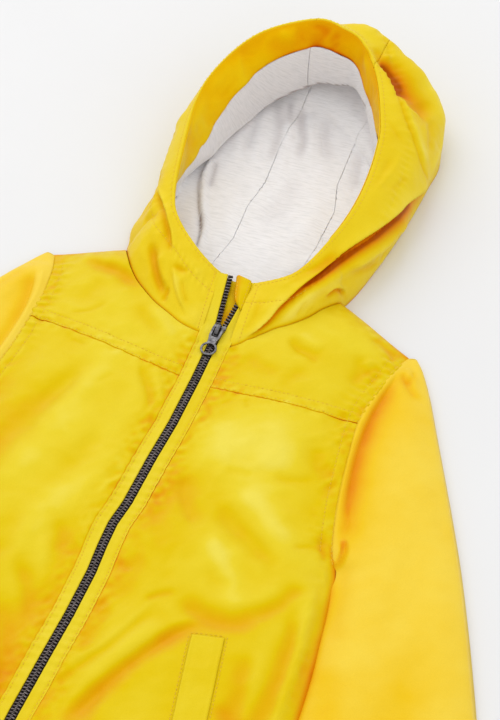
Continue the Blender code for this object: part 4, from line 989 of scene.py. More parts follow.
def build_sleeve(side, mat):
    """A flattened tube: over the top from the armhole to the overarm edge, and back under."""
    outer, inner = sleeve_edges(side)
    across = spaced(70, 0, 16)[::-1]
    top = sleeve_form(side, across, outer, inner)
    plan = top[..., :2].reshape(-1, 2)
    height, painted_shade = relief(plan, SLEEVE_FOLDS[side])
    height += humps(plan, (0.7, 70, 31), (0.22, 26, 32), (0.08, 9, 33))
    from_edge = np.linalg.norm(top - top[:, -1:], axis=2).ravel()
    height += crumples(plan, 34) * (0.15 + 0.7 * bell(from_edge, 14))
    height, painted_shade = height.reshape(top.shape[:2]), painted_shade.reshape(top.shape[:2])
    width = np.linalg.norm(outer - inner, axis=1)[:, None]
    from_body = (1 - across) * width
    past_pit = np.arange(len(inner))[:, None] - ARMHOLE_ROWS
    free = smooth(across * width / 9)
    free = free * (1 - smooth(past_pit / 10) * (1 - smooth(from_body / 9)))
    top[..., 2] = np.maximum(top[..., 2] + height * free, CLOTH + 1.4)
    from_cuff = lengths(inner)[-1] - lengths(inner)
    top[..., 2] -= 0.5 * bell(from_cuff - HEM_ROW, 1.3)[:, None]
    under = top[:, ::-1][:, 1:-1].copy()
    under[..., 2] = SLEEVE_UNDER_Z
    beside = smooth(past_pit / 6) * (1 - smooth((past_pit - 34) / 20))
    # painted shadow on the sleeve beside the body's edge, below the armpit, where the body lies
    # over it
    painted_shade = painted_shade * free + beside * (0.8 * bell(from_body, 4) + 0.22 * np.exp(-from_body / 16))
    painted_shade = np.concatenate([painted_shade, np.zeros(under.shape[:2])], 1)
    half(side, "sleeve_" + side + "_cloth", "sleeve", np.concatenate([top, under], 1), mat,
         painted_shade, ring=True)


def welt_plan(margin):
    """The four corners of the welt on plan, moved outwards by a margin."""
    (x0, y0), (x1, y1) = WELT
    along = np.array([x1 - x0, y1 - y0]) / math.dist(*WELT)
    across = np.array([-along[1], along[0]])
    reach = WELT_WIDTH / 2 + margin
    start, end = np.array(WELT[0]) - along * margin, np.array(WELT[1]) + along * margin
    return [start - across * reach, start + across * reach, end + across * reach,
            end - across * reach]


def build_welt(side, mat):
    inner_start, outer_start, outer_end, inner_end = welt_plan(0)
    v = np.linspace(0, 1, 96)[:, None, None]
    u = np.linspace(0, 1, 24)[None, :, None]
    plan = ((1 - v) * ((1 - u) * inner_end + u * outer_end)
            + v * ((1 - u) * inner_start + u * outer_start))
    across = np.minimum(u, 1 - u)[..., 0] * WELT_WIDTH
    along = np.minimum(v, 1 - v)[..., 0] * math.dist(*WELT)
    edge = np.minimum(across, along)
    grid, painted_shade = lay_body(side, plan, WELT_RISE - rolled(edge, 1.1) - 0.25 * bell(edge - 3, 1.6))
    half(side, "welt_" + side + "_cloth", "pocket_welt", grid, mat, painted_shade * 0.4)


def build_body(mats):
    rows = []
    for side in SIGN:
        build_front(side, mats["nylon_body"])
        build_yoke(side, mats["nylon_body"])
        build_band(side, mats["nylon_body"])
        build_welt(side, mats["nylon_body"])
        build_sleeve(side, mats["nylon_sleeve_lit"])
        rows += [body_row(side, line, ROWS[name][2]) for name, line in body_rows(side).items()]
        corners = [signed(side, p) for p in welt_plan(EDGE_ROW)]
        rows += [body_row(side, ends, 0.1) for ends in zip(corners, corners[1:] + corners[:1])]
    build_back(mats["nylon_body"])
    stitch_rows("stitches_body", rows, mats["thread"])


# ---------------------------------------------------------------- the zip

def build_tape(side, mat):
    ys = np.arange(HEM_Y, ZIP_TOP_Y - 2.9, 2.0)
    inner = chain_offset(side, ys) + 0.15 - 0.8 * smooth((ys - PART_Y) / 3)
    outer = np.minimum(inner + TAPE_WIDTH, band_outer(side, ys) - 2)
    _, x, y, z = along_zip(side, ys, inner, outer, np.linspace(0, 1, 6))
    grid = np.stack([zip_place(x, y), y, z - TAPE_DROP], -1)
    half(side, "tape_" + side, "zip_tape", grid, mat, wall=TAPE_WALL, slot="zip_tape")


def tooth_shape():
    """One tooth, its foot towards +X: a narrow neck and a wide head, bevelled above."""
    half_outline = [(TOOTH_HALF, 0.68), (1.1, 0.52), (0.35, 0.36), (-0.3, 0.56), (-0.8, 0.42)]
    outline = np.array([(TOOTH_HALF, -0.68)] + half_outline + [(-0.95, 0.0)]
                       + [(x, -y) for x, y in half_outline[:0:-1]])
    middle = np.array([0.8, 0.0])
    levels = [(-1.0, 1.0), (0.45, 1.0), (0.85, 0.72)]
    verts = [(*(middle + (point - middle) * share), z) for z, share in levels
             for point in outline]
    count = len(outline)
    faces = grid_faces(len(levels), count, ring=True)
    faces += [range(2 * count, 3 * count), range(count - 1, -1, -1)]
    return np.array(verts), faces


def set_teeth(places, name, node, mat):
    """Teeth at (x, y, z, side, slope along y, turn on plan)."""
    shape, shape_faces = tooth_shape()
    verts, faces = [], []
    for x, y, z, sign, slope, turn in places:
        c, s = math.cos(turn), math.sin(turn)
        tooth = shape * (sign, 1, 1) @ np.array([(c, s, 0), (-s, c, 0), (0, 0, 1)])
        tooth[:, 2] += slope * tooth[:, 1]
        first = len(verts) * len(shape)
        verts.append(tooth + (x, y, z))
        faces += [[first + k for k in face][::sign] for face in shape_faces]
    mesh = mesh_from(name, np.concatenate(verts), faces, smooth_shading=False)
    piece(name, mesh, mat, [node])


def chain_z(side, ys):
    return band_height(side, np.full(len(ys), SIGN[side] * CHAIN_HALF), ys) + 0.1


def build_chain(mat):
    """The closed teeth, one side half a pitch behind the other, and the two open rows."""
    places = []
    for side, sign in SIGN.items():
        shift = 0.0 if sign > 0 else TOOTH_PITCH / 2
        ys = np.arange(HEM_Y + 9 + shift, PART_Y - 1, TOOTH_PITCH)
        z = 0.5 * (chain_z("right", ys) + chain_z("left", ys))
        xs = zip_place(np.zeros(len(ys)), ys)
        places += [(x, y, h, sign, slope, -sign * TOOTH_TURN)
                   for x, y, h, slope in zip(xs, ys, z, np.gradient(z, ys))]
    set_teeth(places, "teeth_closed", "zip_chain_closed", mat)
    for side, sign in SIGN.items():
        ys = np.arange(SLIDER_Y[1] - 0.5, CHAIN_SPREAD[side][-1][0] + 0.1, TOOTH_PITCH)
        offset, z = chain_offset(side, ys), chain_z(side, ys)
        turns = -np.arctan(np.gradient(offset, ys)) * sign
        set_teeth([(sign * (o - 0.9), y, h, sign, slope, turn)
                   for o, y, h, slope, turn in zip(offset, ys, z, np.gradient(z, ys), turns)],
                  "teeth_" + side, "zip_chain_" + side, mat)


def rounded_plate(name, loops, half, bevel):
    """The mesh of a flat plate with bevelled edges, from closed outlines, about z = 0."""
    curve = bpy.data.curves.new(name, "CURVE")
    curve.dimensions = "2D"
    curve.fill_mode = "BOTH"
    curve.extrude = (half - bevel) * MM
    curve.bevel_depth = bevel * MM
    curve.bevel_resolution = 2
    curve.offset = -bevel * MM
    for loop in loops:
        line = curve.splines.new("POLY")
        line.points.add(len(loop) - 1)
        for point, (x, y) in zip(line.points, loop):
            point.co = (x * MM, y * MM, 0, 1)
        line.use_cyclic_u = True
    source = bpy.data.objects.new(name + "_outline", curve)
    bpy.context.scene.collection.objects.link(source)
    depsgraph = bpy.context.evaluated_depsgraph_get()
    mesh = bpy.data.meshes.new_from_object(source.evaluated_get(depsgraph))
    bpy.data.objects.remove(source, do_unlink=True)
    return mesh


def arc(middle, radius, start, end, count):
    angles = np.radians(np.linspace(start, end, count))
    return [(middle[0] + radius * math.cos(a), middle[1] + radius * math.sin(a)) for a in angles]


def join_meshes(name, parts):
    """One mesh from (mesh, matrix) pairs."""
    bm = bmesh.new()
    for mesh, matrix in parts:
        start = len(bm.verts)
        bm.from_mesh(mesh)
        bm.verts.ensure_lookup_table()
        bmesh.ops.transform(bm, matrix=matrix, verts=bm.verts[start:])
    mesh = bpy.data.meshes.new(name)
    bm.to_mesh(mesh)
    bm.free()
    return mesh


def placed(place, tilt=0.0):
    return Matrix.Translation(Vector(place) * MM) @ Matrix.Rotation(tilt, 4, "X")


def build_slider(mat):
    """The top plate with its side lips, and the arch that the pull tab hangs in."""
    low_y, high_y = SLIDER_Y
    below_plate = band_height("right", np.array([CHAIN_HALF]), np.array([PART_Y]))[0]
    plate_z = float(below_plate) + SLIDER_RISE
    edge = ([(3.2, low_y + 0.3), (3.8, low_y + 1.6), (4.1, low_y + 4.2), (4.8, high_y - 3.6),
             (4.7, high_y - 1.0), (4.0, high_y), (2.4, high_y - 0.2), (1.1, high_y - 1.3),
             (0.0, high_y - 2.1)])
    outline = edge + [(-x, y) for x, y in reversed(edge[:-1])]
    plate = rounded_plate("plate", [outline], 0.62, 0.3)
    lips = []
    for sign in SIGN.values():
        lip = [(sign * x, y) for x, y in ((3.2, low_y + 1.2), (3.9, low_y + 2.6), (4.2, 5.4),
                                          (4.7, high_y - 3.4), (4.6, high_y - 1.4),
                                          (3.9, high_y - 1.0), (3.9, high_y - 3.6), (3.3, 5.2),
                                          (2.9, low_y + 2.4))]
        lips.append((rounded_plate("lip", [lip], 0.9, 0.2), placed((0, 0, plate_z - 1.1))))
    arch = [(1.4, 0.3), (1.6, 2.2)] + arc((4.4, 2.3), 2.0, 150, 100, 4)
    arch += arc((8.6, 2.2), 2.1, 85, 0, 6) + [(10.8, 0.3)]
    slot = arc((8.5, HINGE[2] - plate_z), 1.05, 0, 330, 12)
    bridge = rounded_plate("arch", [arch, slot], 1.5, 0.4)
    stand = Matrix.Translation((0, 0, plate_z * MM)) @ Matrix(
        ((0, 0, 1, 0), (1, 0, 0, 0), (0, 1, 0, 0), (0, 0, 0, 1)))
    mesh = join_meshes("slider_body", [(plate, placed((0, 0, plate_z))), *lips, (bridge, stand)])
    piece("slider_body", mesh, mat, ["zip_slider"])


def build_pull(mat):
    """The tab: a frame round a long window, a plain raised panel, and the ring."""
    ring_y = -PULL_LENGTH + RING_RADIUS
    gap = math.degrees(math.asin(PULL_NECK_HALF / RING_RADIUS))
    outer = arc((0, ring_y), RING_RADIUS, 90 + gap, 450 - gap, 34)
    side = [(PULL_NECK_HALF, -13.6), (3.5, -12.0), (4.1, -10.2), (PULL_HALF, -8.0),
            (PULL_HALF, -0.5), (4.1, 0.3), (3.5, 0.68)]
    outer += side + [(-x, y) for x, y in reversed(side)]
    window = (arc((1.7, -8.6), 0.8, 0, -90, 4) + arc((-1.7, -8.6), 0.8, 270, 180, 4)
              + arc((-1.8, -1.4), 0.7, 180, 90, 4) + arc((1.8, -1.4), 0.7, 90, 0, 4))
    hole = arc((0, ring_y), RING_HOLE, 0, 348, 30)
    plate = rounded_plate("tab", [outer, window, hole], PULL_THICK / 2, 0.3)
    panel = [(2.1, -14.2), (2.3, -11.4), (-2.3, -11.4), (-2.1, -14.2)]
    raised = rounded_plate("panel", [panel], 0.35, 0.15)
    place = placed(HINGE, math.radians(PULL_TILT))
    mesh = join_meshes("pull_tab", [(plate, place), (raised, place @ placed((0, 0, 0.45)))])
    piece("pull_tab", mesh, mat, ["zip_pull"], body="pull")


def guard_surface(u, v):
    """The folded corner of the stand: u from left to right, v from its tip to the top."""
    top_left, top_right, low_right, low_left = np.array(GUARD)
    u, v = u[..., None], v[..., None]
    left = low_left + (top_left - low_left) * v
    right = low_right + (top_right - low_right) * v
    return left + (right - left) * u


def build_guard(mat):
    """The chin guard; gives the two rows of stitches on it."""
    v, u = np.meshgrid(np.linspace(0, 1, 40), np.linspace(0, 1, 22), indexing="ij")
    narrow = 0.25 * (1 - smooth(v / 0.22)) + 0.2 * smooth((v - 0.86) / 0.14) ** 2
    plan = guard_surface(0.5 + (u - 0.5) * (1 - narrow), v)
    base = band_height("right", np.full(plan[..., 1].size, CHAIN_HALF), plan[..., 1].ravel())
    edge = np.minimum(np.minimum(u, 1 - u) * 11, np.minimum(v, 1 - v) * 28)
    z = base.reshape(u.shape) + GUARD_RISE + GUARD_PUFF * (1 - np.exp(-edge / 2.2))
    z += 0.3 * waves(plan, 7, 41) - rolled(edge, 1.2)
    z -= 0.9 * bell(u - 0.42 + 0.3 * v, 0.1) * smooth((0.75 - v) / 0.4)
    grid = np.concatenate([plan, z[..., None]], -1)
    # painted shade: the guard is painted amber, deepest towards its left edge
    painted_shade = 0.35 + 0.4 * bell(u - 0.1, 0.25)
    cloth("chin_guard_cloth", grid, mat, ["chin_guard"], painted_shade=painted_shade)
    normals = grid_normals(grid)
    return [(grid[3:-3, 3], normals[3:-3, 3]), (grid[3:-3, -4], normals[3:-3, -4])]


def build_wind_flap(mat):
    """The wind flap behind the zip, seen between the open teeth."""
    ys = np.linspace(-8, ZIP_TOP_Y - 3, 34)
    shares = np.linspace(-1, 1, 16)
    reach = 4 + 5 * smooth((ys - 4) / 30)
    x = reach[:, None] * shares[None] - 1.2 * smooth(ys / 40)[:, None]
    y = np.repeat(ys[:, None], len(shares), 1)
    z = FRONT_Z - FLAP_DROP + zip_lift(y) + 0.3 * waves(np.stack([x, y], -1), 9, 51)
    # painted shade: the flap is painted amber for the shade it lies in behind the teeth
    painted_shade = 0.55 + 0.2 * waves(np.stack([x, y], -1), 12, 52)
    cloth("wind_flap", np.stack([x, y, z], -1), mat, painted_shade=painted_shade)


# ---------------------------------------------------------------- the hood

# Folds of the outer hood, in space
HOOD_FOLDS = [
    # crown: a flap hangs over a deep hollow, which opens towards the right
    *lap(2.0, 6.5, (5, 6), (8, 10), (16, 281, 69), (25, 273, 67), (31, 269, 64), (37, 266, 63),
         (42, 261, 61), (46, 256, 60), (53, 248, 58), painted_shade=0.75, ends=0.12, slide=0.8),
    fold(0, (6, 7), (26, 277, 66), (36, 271, 63), (45, 263, 59), (52, 255, 57), painted_shade=0.55),
    fold(6.5, (9, 11), (-14, 308, 68), (2, 308, 67), (16, 306, 63), (32, 302, 56), (46, 296, 52),
         (58, 288, 48), (68, 279, 44), ends=0.25),
    fold(-6.0, (7, 13), (30, 280, 62), (40, 276, 60), (50, 268, 56), (60, 260, 52),
         (72, 254, 46), (80, 252, 38), painted_shade=0.85, ends=0.2),
    fold(4.5, (14, 15), (56, 294, 36), (76, 280, 30), (88, 262, 27), (94, 240, 24), ends=0.4),
    fold(2.0, (3, 5), (53, 248, 58), (58, 245, 56), (63, 242, 55), (67, 241, 53), (72, 242, 50),
         (77, 246, 44), painted_shade=-0.2, sharp=1.6),
    fold(1.6, (2.5, 3), (30, 288, 62), (36, 281, 61), (43, 278, 58), sharp=1.6, painted_shade=-0.1),
    fold(-0.8, (1.5, 1.8), (20, 299, 58), (27, 295, 58), (33, 285, 59), painted_shade=0.2, sharp=1.5),
    fold(0.8, (1.8, 2), (26, 301, 56), (33, 294, 57), (39, 287, 57), sharp=1.5),
    fold(2.4, (5, 7), (50, 292, 44), (70, 276, 34), (88, 256, 22), painted_shade=-0.15),
    # the crease from the hollow to the corner, and the facet beside it, raised and painted paler as
    # a painted highlight
    fold(-1.1, (1.2, 1.4), (53, 248, 58), (59, 241, 57), (66, 231, 54), (76, 220, 48),
         (80, 215, 44), (89, 204, 33), (94, 207, 17), painted_shade=0.3, sharp=1.5, ends=0.1),
    fold(1.6, (3, 7), (54, 249, 57), (61, 242, 56), (68, 233, 53), (78, 221, 47),
         (90, 208, 32), painted_shade=-0.2, only=1, ends=0.2),
    fold(-1.8, (5, 4), (80, 252, 40), (86, 235, 37), (89, 223, 32), painted_shade=0.2),
    fold(1.4, (4, 4), (88, 256, 16), (93, 231, 20), (95, 214, 18), painted_shade=-0.2),
    fold(-0.7, (1.8, 2), (53, 221, 57), (61, 215, 55), (71, 208, 50), painted_shade=0.15, sharp=1.5),
    fold(0.7, (2, 3), (67, 151, 46), (71, 167, 46), (75, 183, 46), (73, 201, 48), sharp=1.6),
    fold(-0.8, (2.5, 3), (64, 150, 47), (67, 170, 48), (69, 190, 49), painted_shade=0.15),
    fold(-0.8, (2, 2), (78, 164, 41), (82, 176, 40), (85, 182, 38), painted_shade=0.15),
    # from the corner a ridge runs down to the neck and hangs over a deep valley
    *lap(2.4, 7.0, (6, 3.0), (9, 3.2), (94, 210, 13), (93, 188, 22), (89, 171, 28),
         (85, 148, 32), (77, 122, 36), (66, 101, 36), (60, 88, 35), (54, 72, 34), (47, 60, 31),
         (41, 49, 28), (35, 37, 23), (30, 25, 18), (21, 7, 14), painted_shade=1.2, ends=0.08, last=0.6,
         slide=2.5),
    fold(0, (12, 7), (92, 182, 20), (88, 150, 27), (78, 118, 32), (67, 96, 33), (56, 74, 32),
         (46, 56, 28), painted_shade=0.8, only=1, ends=0.15),
    fold(4.8, (6, 3.5), (93, 172, 14), (90, 150, 18), (84, 126, 22), (77, 106, 24),
         (65, 79, 26), (55, 59, 26), (48, 44, 21), (41, 29, 16), painted_shade=-0.5, ends=0.2, last=1.2),
    fold(-0.9, (2.5, 3), (77, 97, 23), (82, 109, 18), (85, 119, 20), painted_shade=0.25, sharp=1.6),
    fold(0.8, (2.5, 3), (69, 92, 26), (78, 103, 21), (83, 115, 17), sharp=1.6),
    fold(-1.2, (3, 2.5), (69, 85, 25), (80, 100, 17), (85, 116, 11), painted_shade=0.35),
    fold(-1.4, (3, 3), (90, 149, 17), (88, 131, 14), (85, 117, 12), painted_shade=0.3),
    *lap(1.4, 2.4, (3, 3), (3, 3.5), (63, 60, 21), (66, 69, 22), (70, 75, 18), (73, 78, 11),
         painted_shade=0.85, below=-1, ends=0.3),
    fold(-1.5, (3.5, 3.5), (34, 58, 31), (44, 68, 34), (53, 75, 35), (59, 92, 36), painted_shade=0.65),
    fold(0.7, (2, 2), (30, 52, 28), (40, 60, 32), (50, 70, 35)),
    fold(-0.6, (1.3, 1.2), (49, 37, 17), (50, 42, 20), (52, 50, 23), painted_shade=0.2, sharp=1.5),
    fold(0.5, (1.3, 1.2), (53, 38, 16), (55, 44, 19), (58, 52, 22), sharp=1.5),
    fold(-0.7, (2, 2.5), (22, 40, 22), (21, 24, 18), (19, 10, 14), painted_shade=0.2),
    # the back of the crown and the outside of the left side
    fold(-2.2, (5, 7), (-72, 262, 62), (-80, 272, 38), (-84, 281, 14), painted_shade=0.3),
    fold(2.0, (6, 8), (-55, 276, 66), (-62, 290, 42), (-66, 300, 16)),
    fold(-1.8, (4, 7), (-18, 292, 68), (-12, 306, 44), (-4, 320, 18), painted_shade=0.25),
    fold(1.9, (6, 8), (4, 290, 64), (14, 304, 40), (24, 316, 14)),
    fold(-1.5, (4, 5), (36, 292, 50), (44, 300, 30), (50, 306, 12), painted_shade=0.25),
    fold(-1.6, (4, 6), (-88, 208, 52), (-97, 216, 34), (-98, 226, 16), painted_shade=0.25),
    fold(1.6, (5, 7), (-90, 184, 50), (-98, 178, 30), (-100, 170, 12)),
    fold(-1.3, (3, 4), (-95, 160, 38), (-99, 188, 26), (-98, 222, 20), (-88, 262, 16), painted_shade=0.2),
    # left side, from the edge of the opening down to the neck
    fold(4.0, (11, 12), (-104, 124, 8), (-106, 104, 7), (-104, 84, 6), (-98, 70, 6), ends=0.4),
    *lap(1.4, 3.0, (3, 3), (4, 4.5), (-89, 112, 30), (-79, 96, 32), (-68, 79, 33),
         (-61, 67, 31), (-56, 56, 28), painted_shade=0.6, below=-1, ends=0.25),
    fold(-3.2, (3.4, 3.8), (-76, 62, 27), (-70, 52, 24), (-64, 42, 22), (-58, 33, 20),
         (-51, 25, 18), (-49, 21, 16), painted_shade=0.7, lean=0.2),
    fold(2.2, (3, 3), (-65, 54, 27), (-61, 44, 24), (-53, 34, 21), (-48, 30, 21), painted_shade=-0.1),
    fold(-1.8, (2.6, 2.2), (-52, 47, 27), (-45, 45, 25), (-38, 45, 25), painted_shade=0.5, ends=0.5),
    fold(-1.0, (2, 2), (-41, 64, 29), (-37, 61, 27), (-33, 56, 26), painted_shade=0.3, ends=0.5),
    fold(-1.2, (1.1, 1.2), (-53, 46, 25), (-48, 35, 22), (-39, 22, 19), (-33, 16, 17),
         (-28, 10, 15), sharp=1.5, painted_shade=0.1),
    fold(1.5, (2, 2), (-50, 46, 25), (-45, 35, 23), (-36, 22, 19), (-29, 14, 16), sharp=1.6,
         painted_shade=-0.1),
    fold(1.0, (1.5, 1.6), (-42, 44, 25), (-37, 33, 22), (-31, 22, 18), sharp=1.6),
    fold(-0.9, (1.5, 1.8), (-41, 37, 23), (-35, 27, 20), (-29, 19, 17), sharp=1.6, painted_shade=0.25),
    fold(-1.2, (1.6, 2), (-48, 30, 21), (-48, 24, 18), (-48, 18, 15), painted_shade=0.35),
    fold(-1.2, (3.5, 3), (-90, 85, 19), (-84, 86, 25), (-79, 86, 31), painted_shade=0.3),
    fold(0.7, (2.5, 2.5), (-57, 67, 31), (-48, 56, 28), (-37, 49, 26), (-26, 44, 22)),
    fold(-2.0, (8, 9), (-96, 88, 16), (-97, 108, 22), (-95, 134, 28), painted_shade=0.3),
    fold(1.4, (6, 7), (-86, 84, 22), (-90, 104, 28), (-91, 130, 32)),
    fold(-1.6, (6, 8), (-98, 160, 20), (-99, 190, 26), (-97, 226, 30), painted_shade=0.25),
    fold(-1.2, (5, 7), (-92, 250, 30), (-84, 272, 36), (-66, 296, 40), painted_shade=0.2),
]
# Folds of the lining where it lies on the table and under the lip
LINING_FOLDS = [
    # a fold stands up on the left, from under the lip to the neck
    fold(5.4, (7.0, 3.6), (-74, 186), (-76, 174), (-75, 162), (-70, 147), (-64, 132),
         (-58, 119), (-52, 104), (-47, 87), only=1, sharp=2.6, ends=0.1, last=1.8),
    fold(-1.4, (3.0, 2.4), (-74, 186), (-76, 174), (-75, 162), (-70, 147), (-64, 132),
         (-58, 119), (-52, 104), (-47, 87), only=-1, ends=0.1, painted_shade=0.25),
    fold(0, (0.8, 0.7), (-76.6, 172), (-75.4, 162), (-70.4, 147), (-64.4, 132), (-58.4, 119),
         (-52.4, 104), (-47.4, 87), ends=0.1, painted_shade=0.45),
    fold(-3.2, (1.6, 1.8), (-71, 184), (-69, 174), (-67, 164), (-65, 153), sharp=1.6, ends=0.3,
         painted_shade=0.55),
    fold(-1.8, (1.4, 1.6), (-60, 124), (-56, 115), (-53, 106), sharp=1.6, ends=0.4, painted_shade=0.5),
    # ridges spread like a Y from the back of the crown
    fold(3.6, (4.5, 6), (-45, 268), (-37, 251), (-25, 224), (-22, 194), (-25, 168),
         ends=0.25, last=1.0, painted_shade=-0.12),
    fold(0, (3, 4), (-50, 266), (-43, 250), (-33, 226), (-30, 196), ends=0.25, painted_shade=0.32),
    fold(3.0, (4, 5), (-35, 272), (-31, 253), (-25, 224), ends=0.3, last=1.6, painted_shade=-0.1),
    fold(-2.4, (2.6, 4), (-40, 268), (-34, 252), (-29, 238), sharp=1.6, ends=0.3, last=-0.6,
         painted_shade=0.5),
    fold(-2.6, (3, 4), (-30, 268), (-22, 248), (-13, 228), (-11, 208), ends=0.3, last=-0.8,
         painted_shade=0.42),
    fold(2.0, (4, 5), (-18, 268), (-14, 246), (-6, 222), (2, 204), ends=0.3, painted_shade=-0.1),
    fold(-1.6, (4, 5), (-6, 262), (2, 236), (14, 214), ends=0.35, painted_shade=0.25),
    fold(2.0, (5, 5), (-54, 256), (-52, 236), (-46, 212), (-42, 190), ends=0.25, painted_shade=-0.1),
    fold(-1.2, (3, 4), (-58, 240), (-56, 220), (-54, 200), painted_shade=0.18),
    fold(1.4, (4, 5), (-64, 224), (-61, 206), (-58, 190)),
    fold(-1.0, (6, 8), (-10, 190), (-6, 160), (-12, 130), painted_shade=0.12),
    fold(1.1, (7, 9), (10, 180), (16, 150), (10, 110)),
    fold(1.0, (6, 8), (-44, 150), (-36, 122), (-28, 100), painted_shade=-0.1),
    fold(1.6, (4, 5), (40, 240), (46, 208), (50, 176)),
    fold(-1.4, (3, 4), (34, 236), (38, 212), (42, 190), ends=0.35, painted_shade=0.25),
    fold(1.3, (5, 6), (36, 120), (26, 100), (14, 84), painted_shade=-0.1),
]
SEAM_WANDER = {
    -1: [(80, -5.0), (108, 0.0), (144, -2.5), (175, 1.0), (213, -2.0), (300, -1.0)],
    1: [(80, 3.0), (121, 6.0), (163, 6.0), (192, -2.0), (236, -4.5), (300, -4.0)],
}
COLUMNS_PER_SECTION = 32
WALL_STEPS = 60
INNER_STEPS = 60
FACING_STEPS = 18
LINING_STEPS = 40
BASE_STEPS = 64
UNDER_STEPS = 10            # on the outer base, which is hidden
FORM_STEPS = 24             # down the wall that the lining follows
HOOD_BASE_Z = 0.4
HOOD_SINK = 0.9             # how far the hood's foot lies below the fronts
NECK_GAP = 0.35             # from the neck seam to the hood's foot


def snapped(folds, points):
    """The folds with their lines moved onto the nearest points of a surface."""
    result = []
    for item in folds:
        gaps = np.linalg.norm(points[None] - item["line"][:, None], axis=2)
        line = points[gaps.argmin(1)]
        for _ in range(4):
            line[1:-1] = (line[:-2] + 2 * line[1:-1] + line[2:]) / 4
        result.append({**item, "line": line})
    return result


def by_section(rows, count):
    """A measure given at some of the hood's sections, for each of its columns."""
    return table(rows)(np.linspace(0, len(HOOD_SECTIONS) - 1, count))


def hood_columns():
    """Rim, foot and the other measures of each column round the hood's opening."""
    rows = spline(HOOD_SECTIONS, COLUMNS_PER_SECTION)
    first, last = (section * COLUMNS_PER_SECTION for section in NECK_SECTIONS)
    number = np.arange(len(rows))
    left, right = number <= first, number >= last
    foot = np.pad(rows[:, 3:5], ((0, 0), (0, 1)))
    for side, chosen in (("left", left), ("right", right)):
        seam = signed(side, row_beside(spline(NECK_SEAM[side], 60), NECK_GAP))
        gaps = np.linalg.norm(seam - foot[chosen][:, None, :2], axis=2)
        x, y = seam[gaps.argmin(1)].T
        foot[chosen] = np.stack([x, y, body_surface(side, x, y)[0] - HOOD_SINK], 1)
    return dict(rim=rows[:, 0:3], foot=foot, belly=rows[:, 5], slope=np.radians(rows[:, 6]),
                foot_in=rows[:, 7], roll=np.clip(rows[:, 8], 0, 1), at_neck=left | right)


def upwards(run):
    """Unit vectors at right angles to runs of cloth, on the side that looks up."""
    flat = run * (1, 1, 0)
    flat_length = np.linalg.norm(flat, axis=-1, keepdims=True)
    return unit(unit(flat) * -run[:, 2:3] + flat_length * (0, 0, 1))


def outer_wall(columns, steps):
    """Points from the rim down to the foot, (columns, steps + 1, 3), and outward normals."""
    chord = columns["foot"] - columns["rim"]
    normal = upwards(chord)
    t = np.linspace(0, 1, steps + 1)[None, :, None]
    belly = columns["belly"][:, None, None] * 4 * t * (1 - t)
    return columns["rim"][:, None] + chord[:, None] * t + normal[:, None] * belly, normal


def neck_line(wall):
    """The lining's line at the front neck, a little inside the outer wall."""
    away = upwards(wall[2:] - wall[:-2])
    line = wall[1:-1] - away * (HOOD_WALL + THROAT_SLACK)
    return line[:int(len(wall) * LINING_SHARE)]


def inner_lines(columns, outer, normal):
    """The seen side of facing and lining for each column, from the rim to its foot, and the
    lower edge of the lining where it rolls inwards."""
    lines, edge = [], []
    up = np.array([0.0, 0.0, 1.0])
    back, down = LIP_TUCK
    lip_slope = math.radians(LIP_SLOPE)
    widths, lips = by_section(FACING_WIDTH, len(outer)), by_section(LIP_LENGTH, len(outer))
    for i, (rim, slope, roll) in enumerate(zip(columns["rim"], columns["slope"],
                                               columns["roll"])):
        if columns["at_neck"][i]:
            lines.append(even(neck_line(outer[i]), INNER_STEPS))
            continue
        start = rim - normal[i] * HOOD_WALL
        inward = unit(np.array([*HOOD_CENTRE, 0]) - start * (1, 1, 0))
        facing = start + widths[i] * (math.cos(slope) * inward - math.sin(slope) * up)
        facing[2] = max(facing[2], FACING_LEAST_Z)
        foot = (start + inward * columns["foot_in"][i]) * (1, 1, 0) + up * HOOD_WALL
        lip = facing + lips[i] * (math.cos(lip_slope) * inward - math.sin(lip_slope) * up)
        rest = [facing + (foot - facing) * share for share in (0.4, 0.8)]
        turn = [lip, lip - inward * back - up * down]
        knees = [a + (b - a) * roll for a, b in zip(rest, turn)]
        line = spline([rim - normal[i] * 1.5 * RIM_RADIUS, facing, *knees, foot], 12)
        line[:, 2] = np.maximum(line[:, 2], HOOD_WALL)
        lines.append(even(line, INNER_STEPS))
        if roll > 0.5:
            edge.append(lip)
    return np.array(lines), np.array(edge[::6])


def back_neck_y(x):
    left, right = NECK_SEAM["left"][-1], NECK_SEAM["right"][-1]
    return table([(-left[0], left[1]), (0, BACK_NECK_Y), (right[0], right[1])])(x)


def base_grid(neck, feet, z, steps):
    """From the feet of a wall to the middle of the base, (columns, steps + 1, 3)."""
    start = feet.copy()
    start[neck, 1] = back_neck_y(start[neck, 0])
    start[neck, 2] = z
    away = start[:, :2] - HOOD_CENTRE
    angle, radius = -np.unwrap(np.arctan2(away[:, 1], away[:, 0])), np.linalg.norm(away, axis=1)
    first, last = np.flatnonzero(~neck)[[0, -1]]
    for chosen in (slice(0, first + 1), slice(last, len(angle))):
        turned = np.maximum.accumulate(np.clip(angle[chosen], angle[chosen][0], angle[chosen][-1]))
        angle[chosen] = np.linspace(turned[0], turned[-1], len(turned))
        radius[chosen] = np.interp(angle[chosen], turned, radius[chosen])
    ways = np.stack([np.cos(angle), -np.sin(angle)], 1)
    start[neck, :2] = (HOOD_CENTRE + ways * radius[:, None])[neck]
    t = np.linspace(0, 1, steps + 1)[None, :, None] ** 0.8
    grid = start[:, None] * (1 - t) + np.array([*HOOD_CENTRE, z]) * t
    grid[:, 1:, 2] = z
    return grid


